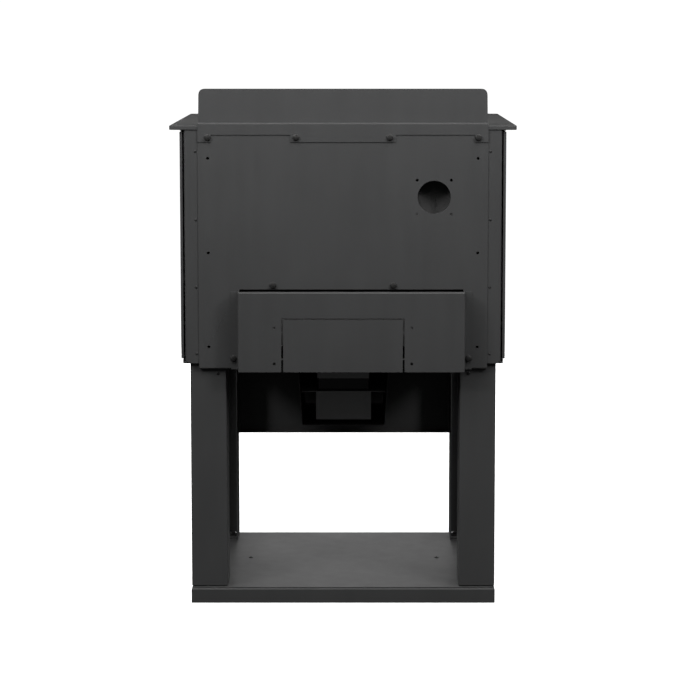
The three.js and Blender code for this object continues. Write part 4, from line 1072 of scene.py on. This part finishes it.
@dataclass
class Door:
    """The glazed door with its seals, retainers and hinges."""

    finishes: Finishes
    retainer_screws: tuple[float, ...] = (-0.14, 0.0, 0.14)

    def build(self) -> None:
        """Builds the door's pieces."""
        Softening(1.8, 3).stand_in("door_frame", self.finishes.iron)
        Softening(0.4, 2).stand_in("door_glass", self.finishes.glass)
        Softening(0.6, 2).stand_in("glass_gasket", self.finishes.rope)
        Softening(2.8, 4).stand_in("door_gasket", self.finishes.rope)
        for node in ("glass_retainer_top", "glass_retainer_bottom"):
            Softening(0.3).stand_in(node, self.finishes.steel_x)
        for level in ("upper", "lower"):
            Softening(1.0, 3).stand_in(f"hinge_bracket_{level}", self.finishes.iron)
            Softening(0.5, 2).stand_in(f"hinge_pin_{level}", self.finishes.steel_z)
        self.bead()
        self.screws()

    def bead(self) -> None:
        """Adds the raised bead that frames the window on the door's face."""
        low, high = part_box("glass_gasket")
        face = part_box("door_frame")[0].y
        work = Workpiece()
        inset, width, rise = 0.004, 0.006, 0.0022
        outer_low = Vector((low.x - inset, face - rise, low.z - inset))
        outer_high = Vector((high.x + inset, face - 0.0001, high.z + inset))
        bars = (
            (outer_low, Vector((outer_high.x, outer_high.y, outer_low.z + width))),
            (Vector((outer_low.x, outer_low.y, outer_high.z - width)), outer_high),
            (
                Vector((outer_low.x, outer_low.y, outer_low.z + width)),
                Vector((outer_low.x + width, outer_high.y, outer_high.z - width)),
            ),
            (
                Vector((outer_high.x - width, outer_low.y, outer_low.z + width)),
                Vector((outer_high.x, outer_high.y, outer_high.z - width)),
            ),
        )
        for bar_low, bar_high in bars:
            work.block(bar_low, bar_high, 0.0009, 3)
        work.put("door_bead", Body.DOOR, self.finishes.iron)

    def screws(self) -> None:
        """Adds the screws in the glass retainers and the hinge brackets."""
        work = Workpiece()
        for node in ("glass_retainer_top", "glass_retainer_bottom"):
            middle, back = middle_of(node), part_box(node)[1].y
            for x in self.retainer_screws:
                PanScrew(0.0035, 0.0016).add(work, Vector((x, back, middle.z)), Vector((0, 1, 0)))
        work.put("retainer_screws", Body.DOOR, self.finishes.screw)
        work = Workpiece()
        for level in ("upper", "lower"):
            low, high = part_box(f"hinge_bracket_{level}")
            for x in (low.x + 0.0045, high.x - 0.0045):
                place = Vector((x, high.y - 0.004, (low.z + high.z) / 2))
                PanScrew(0.0032, 0.0016).add(work, place, Vector((0, -1, 0)))
        work.put("hinge_screws", Body.STOVE, self.finishes.screw)


@dataclass
class DoorHandle:
    """The spindle, grip and latch."""

    finishes: Finishes

    def build(self) -> None:
        """Builds the handle's pieces."""
        Softening(0.5, 2).stand_in("handle_spindle", self.finishes.steel_y)
        Softening(1.0, 3, 40.0).stand_in("handle_grip", self.finishes.iron)
        Softening(0.6, 2).stand_in("latch_tongue", self.finishes.steel_z)
        Softening(0.4, 2).stand_in("latch_catch", self.finishes.steel_z)


# ---------------------------------------------------------------- studio


@dataclass
class Lamp:
    """One soft box, aimed at a point of the stove."""

    name: str
    place: tuple[float, float, float]
    aim: tuple[float, float, float]
    size: float
    power: float
    sheen: bool = True

    def build(self) -> None:
        """Hangs the lamp."""
        data = bpy.data.lights.new(self.name, "AREA")
        data.shape = "SQUARE"
        data.size = self.size
        data.energy = self.power
        lamp = bpy.data.objects.new(self.name, data)
        bpy.context.scene.collection.objects.link(lamp)
        lamp.location = self.place
        lamp.rotation_euler = (Vector(self.aim) - Vector(self.place)).to_track_quat("-Z", "Y").to_euler()
        lamp.visible_glossy = self.sheen


@dataclass
class Studio:
    """The floor, lights and camera."""

    camera_back: float = 4.7855
    camera_x: float = -0.020
    camera_height: float = 1.113
    dome: float = 30.0
    camera_pitch: float = 6.65
    lens: float = 122.3
    shift_x: float = -0.005
    shift_y: float = -0.0705
    sky: float = 0.12
    ground: float = 0.03
    lamps: list[Lamp] = field(default_factory=lambda: [
        Lamp("overhead_left", (0.6, 1.05, 1.95), (0.1, 0.2, 0.85), 1.0, 17.0),
        Lamp("overhead_right", (-0.6, 1.05, 1.95), (-0.1, 0.2, 0.85), 1.0, 16.0),
        Lamp("soft_left", (3.2, 3.4, 3.0), (0.0, 0.2, 0.6), 0.7, 65.0),
        Lamp("soft_right", (-3.2, 3.4, 3.0), (0.0, 0.2, 0.6), 0.7, 65.0),
        Lamp("soft_front", (0.8, -3.0, 1.5), (0.0, 0.0, 0.5), 1.8, 80.0, sheen=False),
        Lamp("low_front", (0.0, -1.7, 0.42), (0.0, 0.0, 0.1), 0.6, 1.5),
        Lamp("soft_side_left", (3.0, -0.4, 1.6), (0.0, 0.0, 0.6), 1.4, 16.0),
        Lamp("soft_side_right", (-3.0, -0.4, 1.6), (0.0, 0.0, 0.6), 1.4, 16.0),
    ])

    def build(self) -> None:
        """Lays the floor, hangs the lamps and sets up the camera."""
        scene = bpy.context.scene
        scene.view_settings.view_transform = "Standard"
        scene.view_settings.look = "None"
        self.backdrop()
        self.sky_light()
        for lamp in self.lamps:
            lamp.build()
        data = bpy.data.cameras.new("camera")
        data.lens = self.lens
        data.sensor_width = 36.0
        data.shift_x = self.shift_x
        data.shift_y = self.shift_y
        data.clip_end = 100.0
        camera = bpy.data.objects.new("camera", data)
        scene.collection.objects.link(camera)
        camera.location = (self.camera_x, self.camera_back, self.camera_height)
        camera.rotation_euler = (math.radians(90 - self.camera_pitch), 0.0, math.radians(180))
        scene.camera = camera

    def backdrop(self) -> None:
        """Lays the floor and stands a pale dome round it. They are seen, but add no light to the stove."""
        bm = bmesh.new()
        bmesh.ops.create_uvsphere(bm, u_segments=48, v_segments=24, radius=self.dome)
        planes = bmesh.ops.bisect_plane(
            bm, geom=bm.verts[:] + bm.edges[:] + bm.faces[:], plane_co=(0, 0, -0.0004), plane_no=(0, 0, 1),
            clear_inner=True,
        )
        rim = [g for g in planes["geom_cut"] if isinstance(g, bmesh.types.BMEdge)]
        bmesh.ops.contextual_create(bm, geom=rim)
        bmesh.ops.recalc_face_normals(bm, faces=bm.faces)
        bmesh.ops.reverse_faces(bm, faces=bm.faces)
        mesh = bpy.data.meshes.new("backdrop")
        bm.to_mesh(mesh)
        bm.free()
        mesh.materials.append(PaleBackdrop().material())
        backdrop = bpy.data.objects.new("backdrop", mesh)
        bpy.context.scene.collection.objects.link(backdrop)
        backdrop.visible_diffuse = False
        backdrop.visible_glossy = False
        backdrop.visible_shadow = False

    def sky_light(self) -> None:
        """Fills the studio with soft white light, most of it from above."""
        world = bpy.data.worlds.new("studio")
        world.use_nodes = True
        tree = world.node_tree
        place = tree.nodes.new("ShaderNodeTexCoord")
        parts = tree.nodes.new("ShaderNodeSeparateXYZ")
        rise = tree.nodes.new("ShaderNodeMapRange")
        for socket, value in ((1, -0.1), (2, 0.5), (3, self.ground), (4, self.sky)):
            rise.inputs[socket].default_value = value
        tree.links.new(place.outputs["Generated"], parts.inputs[0])
        tree.links.new(parts.outputs["Z"], rise.inputs[0])
        background = tree.nodes["Background"]
        background.inputs["Color"].default_value = (1.0, 1.0, 1.0, 1.0)
        tree.links.new(rise.outputs[0], background.inputs["Strength"])
        bpy.context.scene.world = world


def main() -> None:
    """Builds the studio and the stove."""
    logging.basicConfig(level=logging.INFO, format="%(name)s: %(message)s")
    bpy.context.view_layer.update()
    Studio().build()
    finishes = Finishes()
    for part in (
        Pedestal(finishes), RearPanels(finishes), StoveBody(finishes), Firebox(finishes), Underside(finishes),
        AshDrawer(finishes), AirControl(finishes), Door(finishes), DoorHandle(finishes),
    ):
        part.build()
        LOG.info("%s built", type(part).__name__)
    bpy.context.view_layer.update()


if __name__ == "__main__":
    main()
